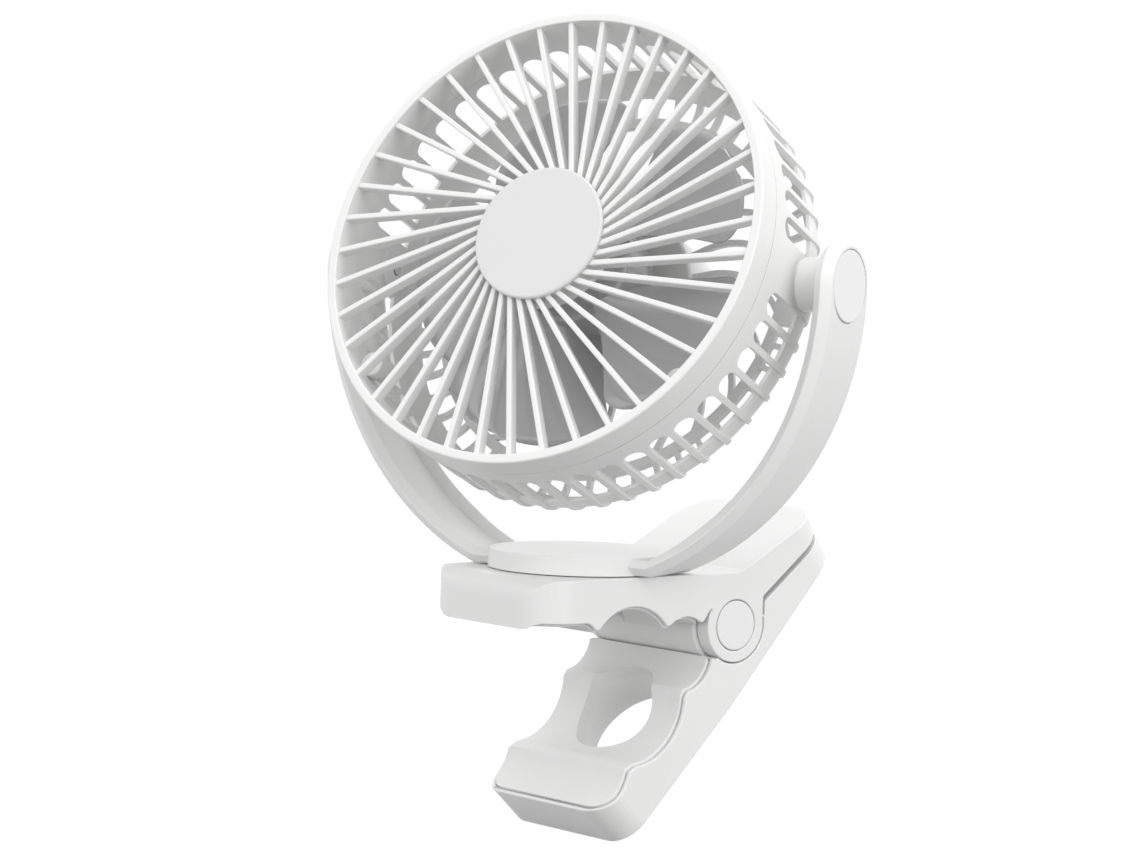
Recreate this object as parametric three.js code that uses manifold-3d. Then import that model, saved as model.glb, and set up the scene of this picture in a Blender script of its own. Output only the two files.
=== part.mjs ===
// A clip-on fan, in millimetres, +Z up. The fan head faces -Y and the clip opens towards -Y.
// The clip lies along X at its hinge. The head is shown tilted up and the yoke turned on its swivel.
// Every piece is a closed mesh of its own.
import * as THREE from "three";
import { mergeVertices } from "three/addons/utils/BufferGeometryUtils.js";
import Module from "manifold-3d";

const wasm = await Module();
wasm.setup();

// ---------------------------------------------------------------- driving dimensions

const GAP = 0.3; // play between pieces that touch
const DEG = Math.PI / 180;
const ROUND = 60; // facets of a large turned piece

// Pose and places. Z = 0 is the clip's top face and the swivel runs through X = Y = 0.
const TILT_HEIGHT = 95.9; // tilt axis above the clip's top face
const TILT_UP = 22.6; // degrees
const SWIVEL_TURN = 20; // degrees
const PINCH_Y = 41.5; // hinge pin of the clip
const PINCH_Z = -17.55;
const REST_PAD_Y = -26.5; // flat land of the upper pad, which the part's origin lies on
const REST_PAD_Z = -14.8;

// Fan head, measured from the tilt axis: radius, and depth that grows towards the front.
const BEZEL_RADIUS = 78.2;
const MOUTH_RADIUS = 75.1;
const BEZEL_FRONT = 35.8;
const BEZEL_SEAM = 25.5;
const SPOKES = 40;
const SPOKE_OFFSET = 11; // each spoke is tangent to a circle of this radius
const SPOKE_WIDTH = 1.9;
const SPOKE_FRONT = 34.9;
const SPOKE_DEPTH = 9;
const SPOKE_PHASE = 3; // degrees clockwise from the top to the first spoke's outer end
const HUB_RADIUS = 22.7;

const CAGE_RADIUS = 78.2;
const CAGE_WALL = 2.4;
const CAGE_CORNER = 12; // rounding between the cage's side and its back
const SUNK = 1.3; // how far the band round that edge lies below the bars
const CAGE_BACK = -18.6;
const SLOT_PITCH = 7; // degrees between the side slots
const SLOTS_PER_SIDE = 24; // above the pivots, and as many below
const SLOT_FRONT = 18;
const SLOT_WIDTH = 7.4;
const BACK_RING_OUT = 64.6; // the ring between the two rows of back openings
const BACK_RING_IN = 61;
const SWIRL_BARS = 24;
const SWIRL_START = 33.5; // radius where a swirl bar runs straight out
const SWIRL_RATE = 0.000385; // radians for each square millimetre past that radius
const POD_RADIUS = 29.5;
const POD_BACK = -38;

// Fan wheel and motor.
const BLADES = 5;
const BLADE_TIP = 61;
const BLADE_PHASE = 42; // degrees clockwise from the top to the middle of the first blade
const BLADE_THICKNESS = 1.6;
const WHEEL_HUB = 20.5;
const WHEEL_FRONT = 12;
const SHAFT_RADIUS = 1.5;

// Yoke: a channel that opens inwards, along an ellipse.
const YOKE_HALF_WIDTH = 94.5;
const YOKE_DROP = 102;
const YOKE_FLOOR = 0.5; // the yoke's flat underside above the clip
const CHANNEL_FACE = 12.7; // half the width of its outer face
const CHANNEL_RIDGE = 15.4;
const CHANNEL_LIP = 12.95;
const CHANNEL_DEPTH = 6.2;
const CHANNEL_SKIN = 2.4;
const CAP_RADIUS = 11.5;
const BASE_RADIUS = 30.4;
const BASE_TOP = 6.4;

// The pivots carry the head in the yoke, all along X from the head's middle.
const PIVOT = {
  neckRadius: 7.9,
  neck: 78.7,
  collarRadius: 8.7,
  collarEnd: 86.9,
  washerEnd: 88,
  washerRadius: 7.6,
  bossRadius: 8.4,
  bore: 2.2,
  shank: 1.9,
  screwStart: 74.6,
  headStart: 90.6,
  headEnd: 93,
  headRadius: 4.2,
};

// Controls in the rear cover.
const BUTTON = { radius: 6.5, height: 9, proud: 1.6 };
const LENS = { half: 6, height: -6 };

// Swivel under the clip's top.
const SWIVEL = {
  spigot: 6,
  floor: 5.6, // depth of the clip's top wall at the swivel
  washer: 11,
  washerThick: 1.2,
  head: 5.2,
  headThick: 2.8,
  shank: 2,
  well: 14.6,
  glideIn: 14,
  glideOut: 25,
};

// Clip.
const CLIP_HALF = 31.4;
const CHEEK = 6; // thickness of the upper lever's ears beside the hinge
const EAR_RADIUS = 12.3;
const BARREL_RADIUS = 13.8;
const PIN_RADIUS = 3;
const PAD_RIM = 1.6; // wall of a lever beside its pad
const HOLE_RADIUS = 16.6; // round hole through the lower jaw
const HOLE_REACH = 38.2; // from the pin to the middle of that hole
const JAW_SLOPE = 47; // degrees that the lower lever hangs below level when it is open
const LEVER_REAR = -45.6; // ends of the lower lever along its length from the pin
const LEVER_TIP = 76.6;
const UPPER_REAR = 75.4; // rear end of the upper lever
const HANDLE_START = 44; // where its handle leaves the level top
const FRONT_CORNER = 10.5; // rounding of the jaws' front corners in plan
const PAD_CORNER = 8.6; // the same on the pads
const REAR_CORNER = 10.5; // rounding of the handles' corners
const NEAR_EDGE = 0.9; // how far the pads stand proud of the levers' rims
const PIN_CAP = 8.2;
const PAD_THICK = 4;
const SPRING = { half: 8, room: 8.2, wire: 0.8, coil: 5.6, turns: 4 };

// ---------------------------------------------------------------- solids

// Closed three.js geometry as a solid, with its faces turned outwards.
function solid(geometry) {
  const bare = (geometry.index ? geometry.toNonIndexed() : geometry).clone();
  bare.deleteAttribute("normal");
  bare.deleteAttribute("uv");
  const merged = mergeVertices(bare, 1e-4);
  const corners = [];
  for (let i = 0; i < merged.index.count; i += 3) {
    const [a, b, c] = [0, 1, 2].map((k) => merged.index.getX(i + k));
    if (a !== b && b !== c && a !== c) corners.push(a, b, c);
  }
  const build = (triangles) =>
    new wasm.Manifold(
      new wasm.Mesh({
        numProp: 3,
        vertProperties: merged.attributes.position.array,
        triVerts: new Uint32Array(triangles),
      }),
    );
  const made = build(corners);
  return made.volume() < 0 ? build(corners.reverse()) : made;
}

function joined(pieces) {
  return pieces.reduce((sum, piece) => sum.add(piece));
}

function cut(body, tools) {
  return tools.reduce((left, tool) => left.subtract(tool), body);
}

function geometryOf(body) {
  const { vertProperties, triVerts } = body.getMesh();
  const geometry = new THREE.BufferGeometry();
  geometry.setAttribute("position", new THREE.BufferAttribute(vertProperties, 3));
  geometry.setIndex(new THREE.BufferAttribute(triVerts, 1));
  geometry.computeVertexNormals();
  return geometry;
}

function piece(name, body, material) {
  const mesh = new THREE.Mesh(geometryOf(body), material);
  mesh.name = name;
  return mesh;
}

// A box given by its lowest and highest corner.
function block(low, high) {
  const size = high.map((value, axis) => value - low[axis]);
  const geometry = new THREE.BoxGeometry(...size);
  return solid(geometry.translate(...low.map((value, axis) => value + size[axis] / 2)));
}

// A cylinder between two places on an axis of the row, its facets as given.
function rod(axis, radius, from, to, [u, v] = [0, 0], facets = 16) {
  const geometry = new THREE.CylinderGeometry(radius, radius, to - from, facets);
  geometry.translate(0, (from + to) / 2, 0);
  if (axis === "x") geometry.rotateZ(-Math.PI / 2).translate(0, u, v);
  if (axis === "y") geometry.translate(u, 0, v);
  if (axis === "z") geometry.rotateX(Math.PI / 2).translate(u, v, 0);
  return solid(geometry);
}

// A closed profile of [radius, height] turned about Y.
function turnedGeometry(profile, facets) {
  const points = profile.map(([radius, height]) => new THREE.Vector2(radius, height));
  const onAxis = points[0].x === 0 && points.at(-1).x === 0;
  if (!onAxis) points.push(points[0].clone());
  return new THREE.LatheGeometry(points, facets);
}

// The same about the fan's axis: depth grows towards -Y.
function turned(profile, facets = ROUND) {
  return solid(turnedGeometry(profile.map(([radius, depth]) => [radius, -depth]), facets));
}

// Points of a round stretch from a to b that bulges to the left of the way by sag.
function bend(a, b, sag, steps = 6) {
  const [dx, dy] = [b[0] - a[0], b[1] - a[1]];
  const chord = Math.hypot(dx, dy);
  const radius = (chord * chord) / (8 * sag) + sag / 2;
  const back = radius - sag;
  const centre = [(a[0] + b[0]) / 2 + (dy / chord) * back, (a[1] + b[1]) / 2 - (dx / chord) * back];
  const start = Math.atan2(a[1] - centre[1], a[0] - centre[0]);
  const span = -2 * Math.asin(chord / (2 * radius));
  return Array.from({ length: steps + 1 }, (_, i) => {
    const angle = start + (span * i) / steps;
    return [centre[0] + Math.abs(radius) * Math.cos(angle), centre[1] + Math.abs(radius) * Math.sin(angle)];
  });
}

// Points of a quarter or other arc about a centre, angles in degrees.
function arc([x, y], radius, from, to, steps = 6) {
  return Array.from({ length: steps + 1 }, (_, i) => {
    const angle = (from + ((to - from) * i) / steps) * DEG;
    return [x + radius * Math.cos(angle), y + radius * Math.sin(angle)];
  });
}

function shapeOf(points) {
  return new THREE.Shape(points.map(([x, y]) => new THREE.Vector2(x, y)));
}

// A Y-Z outline drawn along X from one place to another.
function alongX(points, from, to) {
  const geometry = new THREE.ExtrudeGeometry(shapeOf(points), { depth: to - from, bevelEnabled: false });
  const frame = new THREE.Matrix4().makeBasis(
    new THREE.Vector3(0, 1, 0),
    new THREE.Vector3(0, 0, 1),
    new THREE.Vector3(1, 0, 0),
  );
  return solid(geometry.applyMatrix4(frame).translate(from, 0, 0));
}

// An X-Y outline raised along Z from one height to another.
function alongZ(points, from, to) {
  const geometry = new THREE.ExtrudeGeometry(shapeOf(points), { depth: to - from, bevelEnabled: false });
  return solid(geometry.translate(0, 0, from));
}

// A rectangle in plan with its own rounding at the low and the high end.
function plan(half, low, high, lowRadius, highRadius, steps = 4) {
  return [
    ...arc([half - highRadius, high - highRadius], highRadius, 0, 90, steps),
    ...arc([-half + highRadius, high - highRadius], highRadius, 90, 180, steps),
    ...arc([-half + lowRadius, low + lowRadius], lowRadius, 180, 270, steps),
    ...arc([half - lowRadius, low + lowRadius], lowRadius, 270, 360, steps),
  ];
}

// A solid that joins rings of points, each ring with the same number of them.
function loft(rings) {
  const count = rings[0].length;
  const positions = rings.flat(2);
  const faces = [];
  const quad = (a, b, c, d) => faces.push(a, b, c, a, c, d);
  for (let r = 0; r + 1 < rings.length; r++) {
    for (let i = 0; i < count; i++) {
      const next = (i + 1) % count;
      quad(r * count + i, r * count + next, (r + 1) * count + next, (r + 1) * count + i);
    }
  }
  const ends = [0, (rings.length - 1) * count];
  const outline = (ring) => {
    const [origin, first] = [new THREE.Vector3(...ring[0]), new THREE.Vector3(...ring[1])];
    const across = first.sub(origin).normalize();
    const normal = new THREE.Vector3();
    ring.forEach((point, i) => {
      const here = new THREE.Vector3(...point);
      normal.add(here.cross(new THREE.Vector3(...ring[(i + 1) % ring.length])));
    });
    const up = normal.normalize().clone().cross(across);
    return ring.map((point) => {
      const offset = new THREE.Vector3(...point).sub(origin);
      return new THREE.Vector2(offset.dot(across), offset.dot(up));
    });
  };
  [rings[0], rings.at(-1)].forEach((ring, end) => {
    THREE.ShapeUtils.triangulateShape(outline(ring), []).forEach(([a, b, c]) => {
      const turn = end === 0 ? [c, b, a] : [a, b, c];
      faces.push(...turn.map((k) => ends[end] + k));
    });
  });
  const geometry = new THREE.BufferGeometry();
  geometry.setAttribute("position", new THREE.Float32BufferAttribute(positions, 3));
  geometry.setIndex(faces);
  return solid(geometry);
}

// A copy of a solid turned clockwise, as seen from the front, about the fan's axis.
function clockwise(body, degrees) {
  return solid(geometryOf(body).rotateY(degrees * DEG));
}

// ---------------------------------------------------------------- materials

function plastic(color, roughness) {
  return new THREE.MeshStandardMaterial({ color, roughness, metalness: 0 });
}

function metal(color, roughness) {
  return new THREE.MeshStandardMaterial({ color, roughness, metalness: 1 });
}

const WHITE = plastic(0xf1f1f1, 0.45);
const WHITE_CAP = plastic(0xededed, 0.35);
const WHEEL_WHITE = plastic(0xe2e2e2, 0.4);
const SOFT_WHITE = plastic(0xe9e9e9, 0.8);
const STEEL = metal(0xb4b6b8, 0.35);
const COPPER = metal(0xb06a3a, 0.4);
const DARK_BOARD = plastic(0x1f4a34, 0.6);
const FOIL = metal(0xc4c8cc, 0.5);
const LAMP = plastic(0xfafafa, 0.2);

// ---------------------------------------------------------------- fan head

function frontGrille() {
  const ring = turned([
    [BEZEL_RADIUS, BEZEL_SEAM],
    ...arc([BEZEL_RADIUS - 2, BEZEL_FRONT - 2.2], 2, 0, 60, 2),
    [BEZEL_RADIUS - 1.6, BEZEL_FRONT],
    [MOUTH_RADIUS + 0.6, BEZEL_FRONT - 0.2],
    [MOUTH_RADIUS, BEZEL_FRONT - 1],
    [MOUTH_RADIUS, BEZEL_SEAM - 2.5],
    [MOUTH_RADIUS + 1.2, BEZEL_SEAM - 2.5],
    [MOUTH_RADIUS + 1.2, BEZEL_SEAM],
  ]);
  const plate = turned(
    [
      [0, SPOKE_FRONT],
      [HUB_RADIUS - 0.8, SPOKE_FRONT],
      [HUB_RADIUS - 0.4, SPOKE_FRONT - SPOKE_DEPTH],
      [HUB_RADIUS - 2.4, SPOKE_FRONT - SPOKE_DEPTH],
      [HUB_RADIUS - 2.6, SPOKE_FRONT - 2],
      [0, SPOKE_FRONT - 2],
    ],
    SPOKES,
  );
  const reach = (radius) => Math.sqrt(radius ** 2 - SPOKE_OFFSET ** 2);
  const half = SPOKE_WIDTH / 2;
  const back = -(SPOKE_FRONT - SPOKE_DEPTH);
  // Each spoke is a deep, thin bar that narrows a little towards its back edge.
  const section = [
    [SPOKE_OFFSET - half, -SPOKE_FRONT],
    [SPOKE_OFFSET + half, -SPOKE_FRONT],
    [SPOKE_OFFSET + half - 0.3, back],
    [SPOKE_OFFSET - half + 0.3, back],
  ];
  const spoke = alongZ(section, reach(HUB_RADIUS - 1.8), reach(MOUTH_RADIUS + 0.5));
  const lean = Math.asin(SPOKE_OFFSET / MOUTH_RADIUS) / DEG;
  const spokes = Array.from({ length: SPOKES }, (_, k) =>
    clockwise(spoke, SPOKE_PHASE - lean + (360 / SPOKES) * k),
  );
  const lobe = rod("y", 4.2, -(BEZEL_SEAM + 1.6), -(BEZEL_SEAM - 2.2), [0, MOUTH_RADIUS - 3.3], 12);
  const lobes = [-128, 128].map((angle) => clockwise(lobe, angle));
  const peg = rod("y", 4.3, -SPOKE_FRONT - 1, -SPOKE_FRONT + 3, [0, 0], 20);
  return cut(joined([ring, plate, ...spokes, ...lobes]), [peg]);
}

function hubCap() {
  const front = SPOKE_FRONT + GAP;
  return turned(
    [
      [0, front + 1.4],
      [HUB_RADIUS - 0.5, front + 1.4],
      [HUB_RADIUS, front + 0.9],
      [HUB_RADIUS, front],
      [4, front],
      [4, front - 1.6],
      [0, front - 1.6],
    ],
    SPOKES,
  );
}

// Faces of a surface about the fan's axis, each point as [clockwise degrees, radius, depth].
// Points run anticlockwise as seen from outside the solid.
class TurnedFaces {
  constructor() {
    this.corners = [];
  }

  face(points) {
    for (let i = 1; i + 1 < points.length; i++) {
      [points[0], points[i], points[i + 1]].forEach(([degrees, radius, depth]) => {
        const angle = degrees * DEG;
        this.corners.push(radius * Math.sin(angle), -depth, radius * Math.cos(angle));
      });
    }
  }

  // A face between two places of a profile, over a range of angles.
  band([from, to], first, second) {
    this.face([
      [from, ...first],
      [to, ...first],
      [to, ...second],
      [from, ...second],
    ]);
  }

  solid() {
    const geometry = new THREE.BufferGeometry();
    geometry.setAttribute("position", new THREE.Float32BufferAttribute(this.corners, 3));
    return solid(geometry);
  }
}

// The cage's profile from its rim to the ring on its back, each list as [radius, depth] from front to back:
// the outside, the inside, and the sunk band on the rounded edge that the bars stand proud of.
function cageProfile() {
  const centre = [CAGE_RADIUS - CAGE_CORNER, CAGE_BACK + CAGE_CORNER];
  const edge = (inset) => arc(centre, CAGE_CORNER - inset, 0, -90, 3);
  const inner = CAGE_RADIUS - CAGE_WALL;
  const slotEnd = SLOT_FRONT - SLOT_WIDTH / 2;
  const backs = [BACK_RING_OUT, BACK_RING_IN];
  return {
    outside: [
      [CAGE_RADIUS, BEZEL_SEAM - GAP],
      [CAGE_RADIUS, slotEnd],
      ...edge(0),
      ...backs.map((radius) => [radius, CAGE_BACK]),
    ],
    inside: [
      [inner, BEZEL_SEAM - 3],
      [inner, slotEnd],
      ...edge(CAGE_WALL),
      ...backs.map((radius) => [radius, CAGE_BACK + CAGE_WALL]),
    ],
    sunk: [[], [], ...edge(SUNK)],
    rim: [
      [MOUTH_RADIUS + 1.5, BEZEL_SEAM - GAP],
      [MOUTH_RADIUS + 1.5, BEZEL_SEAM - 3],
    ],
  };
}

const [SLOT_SPRING, SLOT_END, BACK_START, BACK_END] = [1, 2, 4, 6]; // places in the profile

function slottedShell() {
  const { outside, inside, sunk, rim } = cageProfile();
  const faces = new TurnedFaces();
  const last = outside.length - 1;
  const closeEnds = ([from, to]) => {
    faces.band([to, from], outside[0], rim[0]);
    faces.band([to, from], rim[0], rim[1]);
    faces.band([to, from], rim[1], inside[0]);
    faces.band([from, to], outside[last], inside[last]);
  };
  const walls = (range, low, high, skin = outside) => {
    for (let i = low; i < high; i++) {
      faces.band(range, skin[i], skin[i + 1]);
      faces.band([...range].reverse(), inside[i], inside[i + 1]);
    }
  };
  const half = (SLOT_WIDTH / 2 / CAGE_RADIUS) / DEG;
  const rise = SLOT_WIDTH / 2;
  // The slot's round front end as [degrees from the slot's middle, depth].
  const archSteps = 4;
  const arch = Array.from({ length: archSteps + 1 }, (_, i) => {
    const angle = Math.PI - (Math.PI * i) / archSteps;
    return [half * Math.cos(angle), outside[SLOT_SPRING][1] + rise * Math.sin(angle)];
  });
  const slot = (middle) => {
    const range = [middle - half, middle + half];
    closeEnds(range);
    const onSkin = (radius) => arch.map(([degrees, depth]) => [middle + degrees, radius, depth]);
    const [outerArch, innerArch] = [onSkin(outside[0][0]), onSkin(inside[0][0])];
    const [left, right] = range;
    const crown = archSteps / 2;
    // The wall in front of the round end, in two fans from its front corners.
    const front = (corner, points, radius, depth) =>
      points.slice(0, -1).map((point, i) => [[corner, radius, depth], points[i + 1], point]);
    [
      [outerArch, outside[0], 1],
      [innerArch, inside[0], -1],
    ].forEach(([points, [radius, depth], turn]) => {
      const triangles = [
        ...front(left, points.slice(0, crown + 1), radius, depth),
        ...front(right, points.slice(crown), radius, depth),
        [[left, radius, depth], [right, radius, depth], points[crown]],
      ];
      triangles.forEach((triangle) => faces.face(turn > 0 ? triangle : [...triangle].reverse()));
    });
    for (let i = 0; i < archSteps; i++) {
      faces.face([outerArch[i], outerArch[i + 1], innerArch[i + 1], innerArch[i]]);
    }
    const side = (points) => {
      faces.face(points.map((point) => [right, ...point]));
      faces.face(points.map((point) => [left, ...point]).reverse());
    };
    const [a, b, c, d] = [SLOT_SPRING, SLOT_END, BACK_START, BACK_END];
    side([outside[a], outside[b], sunk[b], inside[b], inside[a]]);
    faces.band([right, left], sunk[b], inside[b]);
    walls(range, b, c, sunk);
    for (let i = b; i < c; i++) side([outside[i], outside[i + 1], sunk[i + 1], sunk[i]]);
    faces.band(range, sunk[c], inside[c]);
    side([sunk[c], outside[c], outside[c + 1], inside[c + 1], inside[c]]);
    for (let i = c + 1; i < d; i++) side([outside[i], outside[i + 1], inside[i + 1], inside[i]]);
    faces.band([right, left], outside[d], inside[d]);
    walls(range, d, last);
  };
  const wall = (from, to, columns) => {
    for (let i = 0; i < columns; i++) {
      const range = [from + ((to - from) * i) / columns, from + ((to - from) * (i + 1)) / columns];
      closeEnds(range);
      walls(range, 0, last);
    }
  };
  // Slots above and below, and a closed wall beside each pivot.
  const middles = [0, 180].flatMap((side) =>
    Array.from({ length: SLOTS_PER_SIDE }, (_, k) => side + SLOT_PITCH * (k + 0.5 - SLOTS_PER_SIDE / 2)),
  );
  middles.forEach((middle, k) => {
    slot(middle);
    const next = k + 1 < middles.length ? middles[k + 1] : middles[0] + 360;
    wall(middle + half, next - half, next - middle > SLOT_PITCH * 1.5 ? 3 : 1);
  });
  return faces.solid();
}

function swirlBar() {
  const stations = 4;
  const [start, end] = [POD_RADIUS - 1, BACK_RING_IN + 1];
  const rings = Array.from({ length: stations + 1 }, (_, i) => {
    const radius = start + ((end - start) * i) / stations;
    const turn = SWIRL_RATE * (radius - SWIRL_START) ** 2 * Math.sign(radius - SWIRL_START);
    const slope = radius * 2 * SWIRL_RATE * Math.abs(radius - SWIRL_START);
    const half = 1 * Math.hypot(1, slope);
    return [
      [-half, CAGE_BACK + 0.2],
      [half, CAGE_BACK + 0.2],
      [half, CAGE_BACK + 2.2],
      [-half, CAGE_BACK + 2.2],
    ].map(([side, depth]) => {
      const angle = turn + side / radius;
      return [radius * Math.sin(angle), -depth, radius * Math.cos(angle)];
    });
  });
  return loft(rings);
}

function rearCage() {
  const inner = CAGE_RADIUS - CAGE_WALL;
  const swirl = Array.from({ length: SWIRL_BARS }, (_, k) => clockwise(swirlBar(), (360 / SWIRL_BARS) * k));
  const pod = turned(
    [
      [4.4, -15.2],
      [POD_RADIUS, -15.2],
      [POD_RADIUS, POD_BACK],
      [POD_RADIUS - 2, POD_BACK],
      [POD_RADIUS - 2, -17.4],
      [4.4, -17.4],
    ],
    30,
  );
  const tube = turned(
    [
      [4.4, -17.4],
      [6.2, -17.4],
      [6.2, 6.4],
      [4.4, 6.4],
    ],
    16,
  );
  const column = rod("y", 3.4, -(BEZEL_SEAM - 3.2), 14, [0, MOUTH_RADIUS - 3.3], 10);
  const columns = [-128, 128].map((angle) => clockwise(column, angle));
  const necks = [-1, 1].map((side) => {
    const [from, to] = [side * (inner - 1), side * PIVOT.neck].sort((a, b) => a - b);
    return rod("x", PIVOT.neckRadius, from, to, [0, 0], 24);
  });
  const bores = [-1, 1].map((side) => {
    const [from, to] = [side * (inner - 3), side * (PIVOT.neck + 1)].sort((a, b) => a - b);
    return rod("x", PIVOT.bore, from, to, [0, 0], 12);
  });
  const port = block([-4.9, -POD_BACK - 9, -POD_RADIUS - 2], [4.9, -POD_BACK - 5, -POD_RADIUS + 4]);
  const body = joined([
    slottedShell(),
    ...swirl,
    pod,
    tube,
    ...columns,
    ...necks,
  ]);
  return cut(body, [...bores, port]);
}

function between(side, from, to) {
  return [side * from, side * to].sort((a, b) => a - b);
}

function pivotCollar(side) {
  const [from, to] = between(side, PIVOT.neck + GAP, PIVOT.collarEnd);
  const collar = rod("x", PIVOT.collarRadius, from, to, [0, 0], 24);
  return cut(collar, [rod("x", PIVOT.bore, from - 1, to + 1, [0, 0], 12)]);
}

function frictionWasher(side) {
  const [from, to] = between(side, PIVOT.collarEnd + GAP / 2, PIVOT.washerEnd);
  const washer = rod("x", PIVOT.washerRadius, from, to, [0, 0], 20);
  return cut(washer, [rod("x", PIVOT.bore, from - 1, to + 1, [0, 0], 12)]);
}

function pivotScrew(side) {
  const [from, to] = between(side, PIVOT.screwStart, PIVOT.headStart + 0.5);
  const [headFrom, headTo] = between(side, PIVOT.headStart, PIVOT.headEnd);
  return rod("x", PIVOT.shank, from, to, [0, 0], 10).add(
    rod("x", PIVOT.headRadius, headFrom, headTo, [0, 0], 16),
  );
}

function rearCover() {
  const front = POD_BACK - GAP;
  const cover = turned(
    [
      [0, front],
      [POD_RADIUS, front],
      ...arc([POD_RADIUS - 2, front - 1.4], 2, 0, -90, 3),
      [0, front - 3.4],
    ],
    30,
  );
  const lip = turned(
    [
      [POD_RADIUS - 4, front - 0.2],
      [POD_RADIUS - 2.4, front - 0.2],
      [POD_RADIUS - 2.4, front + 3],
      [POD_RADIUS - 4, front + 3],
    ],
    30,
  );
  const buttonHole = rod("y", BUTTON.radius + GAP, -front - 1, -front + 5, [0, BUTTON.height], 28);
  const lampHalf = LENS.half + GAP;
  const lampHole = block([-lampHalf, -front - 1, LENS.height - 1.1], [lampHalf, -front + 5, LENS.height + 1.1]);
  return cut(cover.add(lip), [buttonHole, lampHole]);
}

function powerButton() {
  const face = -(POD_BACK - GAP - 3.4) + BUTTON.proud;
  const inner = -(POD_BACK - GAP) - GAP;
  const cap = solid(
    turnedGeometry(
      [
        [0, inner],
        [BUTTON.radius, inner],
        [BUTTON.radius, face - 0.6],
        [BUTTON.radius - 0.6, face],
        [0, face - 0.25],
      ],
      28,
    ).translate(0, 0, BUTTON.height),
  );
  const flange = rod("y", BUTTON.radius + 1.2, inner - 1, inner, [0, BUTTON.height], 28);
  return cap.add(flange);
}

function indicatorLens() {
  const back = -(POD_BACK - GAP - 3.4);
  return block([-LENS.half, back - 3.8, LENS.height - 0.8], [LENS.half, back - 0.1, LENS.height + 0.8]);
}

function circuitBoard() {
  const board = turned(
    [
      [0, -33.4],
      [25, -33.4],
      [25, -35],
      [0, -35],
    ],
    28,
  );
  const socket = block([-4.4, 29.4, -27], [4.4, 33.2, -19.6]);
  return cut(board, [socket]);
}

function usbPort() {
  const shell = block([-4.5, 29.3, -29.3], [4.5, 32.7, -20]);
  const mouth = block([-3.9, 29.8, -30], [3.9, 32.2, -23]);
  const tongue = block([-3, 30.7, -28.6], [3, 31.3, -22.8]);
  return cut(shell, [mouth]).add(tongue);
}

function batteryCell() {
  return alongZ(plan(20, 20.2, 28.4, 2.4, 2.4), -16, 16);
}

// ---------------------------------------------------------------- motor and wheel

function statorCore() {
  const teeth = 9;
  const points = Array.from({ length: teeth }, (_, k) => {
    const middle = (360 / teeth) * k;
    return [
      ...arc([0, 0], 9, middle - 13, middle - 11, 1),
      ...arc([0, 0], 14.8, middle - 11, middle + 11, 1),
      ...arc([0, 0], 9, middle + 11, middle + 13, 1),
    ];
  }).flat();
  const star = alongZ(points, -6, 0);
  const upright = solid(geometryOf(star).rotateX(-Math.PI / 2).translate(0, 2, 0));
  return cut(upright, [rod("y", 6.5, -10, 20)]);
}

function windings() {
  const ring = (from, to) =>
    turned(
      [
        [7.2, from],
        [12.2, from],
        [12.2, to],
        [7.2, to],
      ],
      18,
    );
  const posts = [0, 3, 6].map((k) => clockwise(rod("y", 1, -6, 4, [0, 10.9], 6), 40 * (k + 0.5) + 90));
  return joined([ring(4.3, 6.2), ring(-4.2, -2.3), ...posts]);
}

function bearing(depth) {
  return turned(
    [
      [SHAFT_RADIUS + 0.25, depth],
      [4.15, depth],
      [4.15, depth - 4],
      [SHAFT_RADIUS + 0.25, depth - 4],
    ],
    16,
  );
}

function motorShaft() {
  return rod("y", SHAFT_RADIUS, -10.4, 16.6, [0, 0], 20);
}

function rotorCup() {
  return turned(
    [
      [2, 8.6],
      [18.7, 8.6],
      [18.7, -6],
      [17.5, -6],
      [17.5, 7.4],
      [2, 7.4],
    ],
    24,
  );
}

function rotorMagnet() {
  return turned(
    [
      [15.5, 2.6],
      [17.2, 2.6],
      [17.2, -5.6],
      [15.5, -5.6],
    ],
    24,
  );
}

// One blade as rings of points from root to tip, its chord leaning across the fan's axis.
function blade() {
  const stations = 7;
  const chordSteps = 4;
  const root = WHEEL_HUB - 1;
  const rings = Array.from({ length: stations + 1 }, (_, i) => {
    const share = i / stations;
    const radius = root + (BLADE_TIP - root) * Math.sin((share * Math.PI) / 2);
    const out = (radius - root) / (BLADE_TIP - root);
    const rounding = Math.sqrt(1 - Math.max(0, (out - 0.72) / 0.281) ** 2.4);
    const halfSpan = (23 + 9 * out) * rounding + 3;
    const rise = 9.4 - 3.4 * out;
    const sweepBack = 8 * out;
    const along = (side) =>
      Array.from({ length: chordSteps + 1 }, (_, j) => {
        const v = side * (1 - (2 * j) / chordSteps);
        const angle = (sweepBack + halfSpan * v) * DEG;
        const thin = 0.35 + 0.65 * Math.sqrt(1 - v * v * 0.99);
        const depth = 5.4 + rise * rounding * v + 2.2 * (1 - v * v) - (side * BLADE_THICKNESS * thin) / 2;
        return [radius * Math.sin(angle), -depth, radius * Math.cos(angle)];
      });
    return [...along(1), ...along(-1)];
  });
  return loft(rings);
}

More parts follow.
